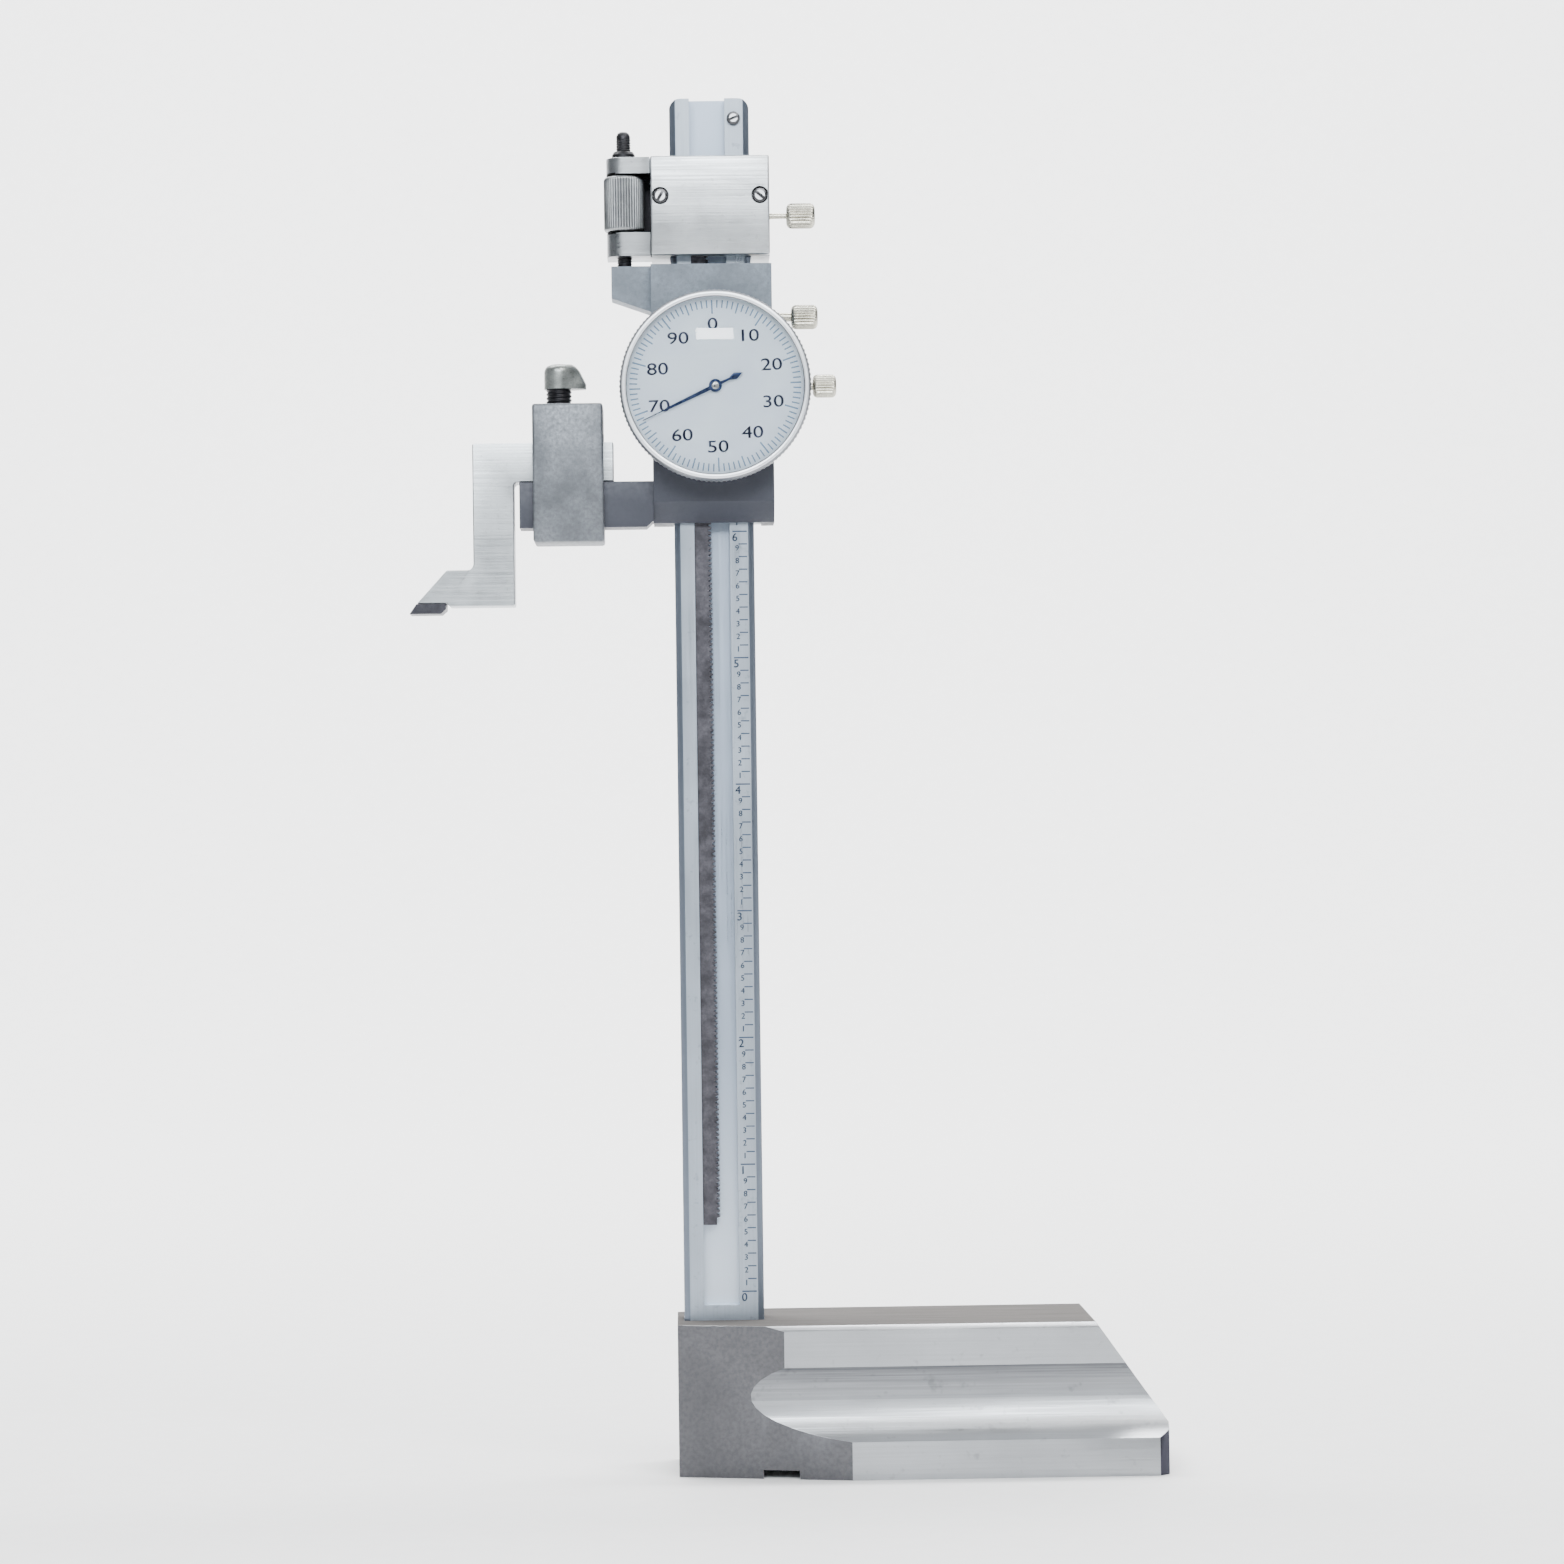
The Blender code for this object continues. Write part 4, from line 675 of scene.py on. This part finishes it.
DIAL_LEAN = radians(-1.8)  # the bezel was left turned by half a division
FIGURE_CIRCLE = 11.9 * MM
TICK_OUTER = 17.05 * MM
# Where a mark starts and half its width, by how many divisions it stands for
TICKS = {10: (14.3 * MM, 0.15 * MM), 5: (14.9 * MM, 0.14 * MM), 1: (15.5 * MM, 0.13 * MM)}
PRINT_GAP = 0.004 * MM  # keeps the back of a print just clear of the face under it
PRINT_TOP = 0.03 * MM


def dial_place(centre, radius, angle):
    """A place on the dial at an angle clockwise from its own zero."""
    turn = angle + DIAL_LEAN
    return (centre[0] + radius * sin(turn), centre[1] + radius * cos(turn))


def make_dial_print():
    """A hundred marks, and figures from 0 to 90."""
    face = span("dial_face")[0].y
    centre = centre_across("dial_face", "Y")
    near, far = face - PRINT_GAP, face - PRINT_TOP
    bm = bmesh.new()
    for mark in range(100):
        inner, half = TICKS[next(size for size in TICKS if mark % size == 0)]
        angle = 2 * pi * mark / 100
        spread_in, spread_out = half / inner, half / TICK_OUTER
        outline = [
            dial_place(centre, inner, angle - spread_in),
            dial_place(centre, inner, angle + spread_in),
            dial_place(centre, TICK_OUTER, angle + spread_out),
            dial_place(centre, TICK_OUTER, angle - spread_out),
        ]
        prism(bm, outline, "Y", near, far)
    add_mesh("dial_divisions", bm, "divisions", "bezel")
    bm = bmesh.new()
    for number in range(0, 100, 10):
        circle = FIGURE_CIRCLE + (0.3 * MM if number in (0, 50) else 0)
        x, z = dial_place(centre, circle, 2 * pi * number / 100)
        place = (x, (near + far) / 2, z)
        text_into(bm, str(number), 3.4 * MM, place, 0.035 * MM, DIAL_LEAN, PRINT_TOP - PRINT_GAP, wide=1.3)
    add_mesh("dial_numbers", bm, "figures", "bezel")


def make_pointer_cap():
    """The bright boss in the middle of the pointer."""
    face = span("pointer")[0].y
    hub = middle("pointer_arbor")
    back = face + 0.02 * MM
    profile = [(0, face - 0.10 * MM), (0.5 * MM, face - 0.09 * MM), (0.72 * MM, face - 0.03 * MM)]
    profile += [(0.78 * MM, back), (0.62 * MM, back), (0, back)]
    bm = lathe(profile, "Y", (hub.x, hub.z), 40)
    add_mesh("pointer_boss", bm, "nickel", "pointer")


# ------------------------------------------------------------------ knurled pieces

CORNER_STEPS = 5


def knurled_barrel(radius, start, end, corner, ridge, rows):
    """The profile of a barrel with rounded ends, where its knurl fades out."""
    profile = []
    for step in range(CORNER_STEPS + 1):
        turn, share = pi / 2 * step / CORNER_STEPS, step / CORNER_STEPS
        reach, along = radius - corner * (1 - sin(turn)), start + corner * (1 - cos(turn))
        profile.append((reach, along, ridge * share**2))
    for row in range(1, rows):
        profile.append((radius, start + corner + (end - start - 2 * corner) * row / rows, ridge))
    for step in range(CORNER_STEPS + 1):
        turn, share = pi / 2 * step / CORNER_STEPS, 1 - step / CORNER_STEPS
        reach, along = radius - corner * (1 - cos(turn)), end - corner * (1 - sin(turn))
        profile.append((reach, along, ridge * share**2))
    return profile


def knurled_thumb_screw(body, knob, thread, neck, knob_length):
    """A thumb screw along X; knob, thread and neck are radii."""
    node = f"{body}_screw"
    low, high = span(node)
    end, start = high.x, high.x - knob_length
    shoulder = start - 0.35 * (start - low.x)
    profile = [(0, low.x), (thread * 0.7, low.x), (thread, low.x + thread * 0.3)]
    profile += [(thread, shoulder - neck), (neck, shoulder), (neck, start + 0.05 * MM)]
    profile += knurled_barrel(knob, start, end, corner=0.42 * knob, ridge=0.22 * MM, rows=4)
    profile += [(0.45 * knob, end - 0.02 * MM), (0.35 * knob, end - 0.12 * MM), (0, end - 0.12 * MM)]
    bm = lathe(profile, "X", centre_across(node, "X"), 140, ridges=28)
    add_mesh(f"{body}_knurled", bm, "thumb", body, [node], sharp=55)


def make_clamp_knob():
    """A domed cap whose right side falls away to a low thumb nose."""
    low, high = span("clamp_knob")
    screw = middle("clamp_screw")
    radius, height = screw.x - low.x, high.z - low.z
    nose = 0.55 * radius
    reach = high.x - screw.x - nose
    levels, cap_steps, nose_steps = 14, 28, 12
    dome, slope_start = 0.34, 0.20  # the share of the height that is domed, and where the nose recedes
    bm, rings = bmesh.new(), []
    for level in range(levels + 1):
        share = level / levels
        bend = max(0.0, (share - 1 + dome) / dome)
        inset = 0.50 * radius * (1 - (1 - bend**2) ** 0.5)
        run = reach * (1 - 0.50 * max(0.0, share - slope_start) / (1 - slope_start))
        big, small = radius - inset, max(0.25 * radius, nose - 0.8 * inset)
        spread = acos(min(1.0, (big - small) / run)) if run > big - small else 0.3
        row = []
        for step in range(cap_steps + 1):
            turn = spread + (2 * pi - 2 * spread) * step / cap_steps
            row.append((screw.x + big * cos(turn), screw.y + big * sin(turn)))
        for step in range(1, nose_steps):
            turn = -spread + 2 * spread * step / nose_steps
            row.append((screw.x + run + small * cos(turn), screw.y + small * sin(turn)))
        rings.append([bm.verts.new((x, y, low.z + height * share)) for x, y in row])
    join_rings(bm, rings)
    add_mesh("clamp_knob_domed", bm, "knob", "clamp_turn", ["clamp_knob"], sharp=50)


def make_screw_faces():
    """Bright chrome centres on the dark heads, each parted by its slot; the dark of the heads around them is
    painted shade.
    """
    places = (
        ("plate_screw_left", "carriage", 1.05),
        ("plate_screw_right", "carriage", -0.7),
        ("stop_screw", "stand", 0.4),
    )
    slot, steps = 0.32, 12  # the angle between a half's end and the slot's line, and steps round a half
    for node, body, lean in places:
        face = span(node)[0].y
        x, z = centre_across(node, "Y")
        radius = 0.62 * half_width(node)
        bm = bmesh.new()
        for side in (1, -1):
            half = []
            for step in range(steps + 1):
                turn = lean + side * (slot + (pi - 2 * slot) * step / steps)
                half.append((x + radius * cos(turn), z + radius * sin(turn)))
            prism(bm, half, "Y", face - 0.06 * MM, face + 0.05 * MM)
        add_mesh(f"{node}_face", bm, "chrome", body)


FINE_BORE = 1.62 * MM  # of the nut and the bush on the fine screw


def make_nut():
    low, high = span("fine_nut")
    barrel = knurled_barrel(half_width("fine_nut"), low.z, high.z, corner=0.75 * MM, ridge=0.16 * MM, rows=6)
    profile = [(FINE_BORE, low.z), *barrel, (FINE_BORE, high.z)]
    bm = lathe(profile, "Z", centre_across("fine_nut", "Z"), 240, ridges=48)
    add_mesh("fine_nut_knurled", bm, "nut", "nut", ["fine_nut"], sharp=55)


# ------------------------------------------------------------------ screws and bush


def make_fine_screw():
    """A fine thread that ends in a rounded point."""
    low, high = span("fine_screw")
    centre, radius = centre_across("fine_screw", "Z"), half_width("fine_screw")
    point = high.z - 1.6 * MM
    bm = threaded("Z", centre, radius, low.z, point, pitch=0.5 * MM, depth=0.16 * MM)
    start = point + 0.01 * MM
    profile = [(0, start), (radius - 0.1 * MM, start), (radius * 0.95, high.z - 0.9 * MM)]
    profile += [(radius * 0.75, high.z - 0.25 * MM), (radius * 0.5, high.z), (0, high.z)]
    lathe(profile, "Z", centre, 36, bm)
    add_mesh("fine_screw_thread", bm, "black", "slider", ["fine_screw"], sharp=60)


def make_clamp_screw():
    low, high = span("clamp_screw")
    bm = threaded(
        "Z", centre_across("clamp_screw", "Z"), half_width("clamp_screw"), low.z, high.z,
        pitch=0.8 * MM, depth=0.3 * MM, sides=48, rows_per_turn=8, ends=0.4 * MM,
    )
    add_mesh("clamp_screw_thread", bm, "black", "clamp_turn", ["clamp_screw"], sharp=60)


def make_yoke_bush():
    """A sleeve with a flange near its top."""
    low, high = span("yoke_bush")
    outer = half_width("yoke_bush")
    sleeve = outer - 0.3 * MM
    foot = high.z - 1.4 * MM
    profile = [(FINE_BORE, low.z), (sleeve, low.z), (sleeve, foot), (outer, foot), (outer, foot + 0.8 * MM)]
    profile += [(outer - 0.1 * MM, foot + 0.95 * MM), (sleeve, high.z - 0.1 * MM)]
    profile += [(sleeve - 0.1 * MM, high.z), (FINE_BORE, high.z)]
    bm = lathe(profile, "Z", centre_across("yoke_bush", "Z"), 48)
    add_mesh("yoke_bush_turned", bm, "black", "carriage", ["yoke_bush"])


# ------------------------------------------------------------------ scale on the column

SCALE_ZERO = 35.7 * MM
SCALE_TENTHS = 63
STRIP_LEFT, STRIP_RIGHT = 3.1 * MM, 6.8 * MM


def make_scale():
    """Black-filled marks every tenth of an inch, each with its figure."""
    face = span("column")[0].y
    near, far = face - PRINT_GAP, face - PRINT_TOP
    right = STRIP_RIGHT - 0.25 * MM
    marks, figures = bmesh.new(), bmesh.new()
    for tenth in range(SCALE_TENTHS + 1):
        z = SCALE_ZERO + tenth * INCH / 10
        if tenth % 10 == 0:
            digit, size, bold = tenth // 10, 2.3 * MM, 0.05 * MM
            left, half, aside, drop = 0.55 * MM, 0.14 * MM, 1.0 * MM, 1.25 * MM
        else:
            digit, size, bold = tenth % 10, 1.6 * MM, 0.04 * MM
            left, half, aside, drop = 1.75 * MM, 0.12 * MM, 1.45 * MM, 0.85 * MM
        left += STRIP_LEFT
        outline = [(left, z - half), (right, z - half), (right, z + half), (left, z + half)]
        prism(marks, outline, "Y", near, far)
        text_into(figures, str(digit), size, (STRIP_LEFT + aside, (near + far) / 2, z - drop), bold)
    add_mesh("scale_marks", marks, "fill", "stand")
    add_mesh("scale_figures", figures, "fill", "stand")


# ------------------------------------------------------------------ stage, light and camera

FLOOR_HALF_WIDTH = 7.0
FLOOR_FRONT, FLOOR_BACK = -8.0, 1.2
SWEEP_RADIUS = 0.8
SWEEP_STEPS = 12
BACKDROP_TOP = 3.0


def make_stage():
    """A pale floor that sweeps up into a pale backdrop."""
    bm = bmesh.new()
    line = [(FLOOR_FRONT, 0.0), (FLOOR_BACK, 0.0)]
    for step in range(1, SWEEP_STEPS + 1):
        angle = pi / 2 * step / SWEEP_STEPS
        line.append((FLOOR_BACK + SWEEP_RADIUS * sin(angle), SWEEP_RADIUS * (1 - cos(angle))))
    line.append((FLOOR_BACK + SWEEP_RADIUS, BACKDROP_TOP))
    rows = [[bm.verts.new((x, y, z)) for x in (-FLOOR_HALF_WIDTH, FLOOR_HALF_WIDTH)] for y, z in line]
    for here, there in zip(rows, rows[1:]):
        bm.faces.new((here[0], here[1], there[1], there[0]))
    floor = object_from("floor", bm, "floor")


def area_light(name, place, aim, size, power, colour=(1, 1, 1)):
    data = bpy.data.lights.new(name, "AREA")
    data.shape = "RECTANGLE"
    data.size, data.size_y = size
    data.energy = power
    data.color = colour
    light = bpy.data.objects.new(name, data)
    light.location = place
    light.rotation_euler = (Vector(aim) - Vector(place)).to_track_quat("-Z", "Y").to_euler()
    bpy.context.scene.collection.objects.link(light)


CAMERA_PLACE = (-0.0074, -0.9112, 0.1213)
CAMERA_ROLL = radians(-0.76)
CAMERA_LENS = 104.0  # millimetres
WINDOW_Y = -1.9
WINDOW_SIZE = (0.060, 0.018)
WINDOW_AIM = 1.25  # in heights of the crystal; above its top, because the glass is crowned


def mirrored_place():
    """Where the crystal shows the camera a light near its zero, and what the light is aimed at."""
    low, high = span("crystal")
    spot = Vector(((low.x + high.x) / 2, low.y, low.z + WINDOW_AIM * (high.z - low.z)))
    behind = Vector((CAMERA_PLACE[0], 2 * low.y - CAMERA_PLACE[1], CAMERA_PLACE[2]))
    ray = spot - behind
    return behind + ray * ((WINDOW_Y - behind.y) / ray.y), spot


def make_lights():
    """A broad soft light from behind the reader and dark sides, so that front faces read bright."""
    world = bpy.data.worlds.new("studio")
    world.use_nodes = True
    sky = world.node_tree.nodes["Background"].inputs
    sky["Color"].default_value = (0.80, 0.88, 1.0, 1.0)
    sky["Strength"].default_value = 0.16
    bpy.context.scene.world = world
    aim = (0.0, 0.0, 0.15)
    area_light("front", (-0.1, -1.75, 1.15), aim, size=(1.5, 0.8), power=54, colour=(0.94, 0.975, 1.0))
    area_light("key", (0.55, -0.8, 1.2), aim, size=(0.5, 0.5), power=12, colour=(1.0, 0.98, 0.95))
    area_light("top", (0.0, 0.35, 1.5), aim, size=(1.4, 1.0), power=8)
    area_light("window", *mirrored_place(), size=WINDOW_SIZE, power=0.16)
    area_light("backdrop", (0.0, 0.6, 1.9), aim=(0.0, 2.0, 0.5), size=(2.6, 0.8), power=175)


def make_camera():
    """The photograph's place and roll, turned to the gauge with a longer lens."""
    low, high = (Vector(corner) for corner in cad_bounds)
    aim = Vector(((low.x + high.x) / 2, 0.0, (low.z + high.z) / 2))
    data = bpy.data.cameras.new("camera")
    data.lens = CAMERA_LENS
    data.sensor_width = 36.0
    data.clip_start = 0.05
    camera = bpy.data.objects.new("camera", data)
    camera.location = CAMERA_PLACE
    look = (aim - camera.location).to_track_quat("-Z", "Y")
    camera.rotation_mode = "QUATERNION"
    camera.rotation_quaternion = look @ Matrix.Rotation(CAMERA_ROLL, 4, "Z").to_quaternion()
    bpy.context.scene.collection.objects.link(camera)
    bpy.context.scene.camera = camera


make_camera()
make_stage()
make_lights()
dress_cad()
make_bezel()
make_crystal()
make_case()
make_dial_print()
make_pointer_cap()
knurled_thumb_screw("bezel_clamp", knob=2.3 * MM, thread=0.9 * MM, neck=0.75 * MM, knob_length=4.7 * MM)
knurled_thumb_screw("slider_clamp", knob=2.45 * MM, thread=1.1 * MM, neck=0.9 * MM, knob_length=5.4 * MM)
knurled_thumb_screw("carriage_clamp", knob=2.55 * MM, thread=0.6 * MM, neck=0.55 * MM, knob_length=5.8 * MM)
make_clamp_knob()
make_screw_faces()
make_nut()
make_fine_screw()
make_clamp_screw()
make_yoke_bush()
make_scale()
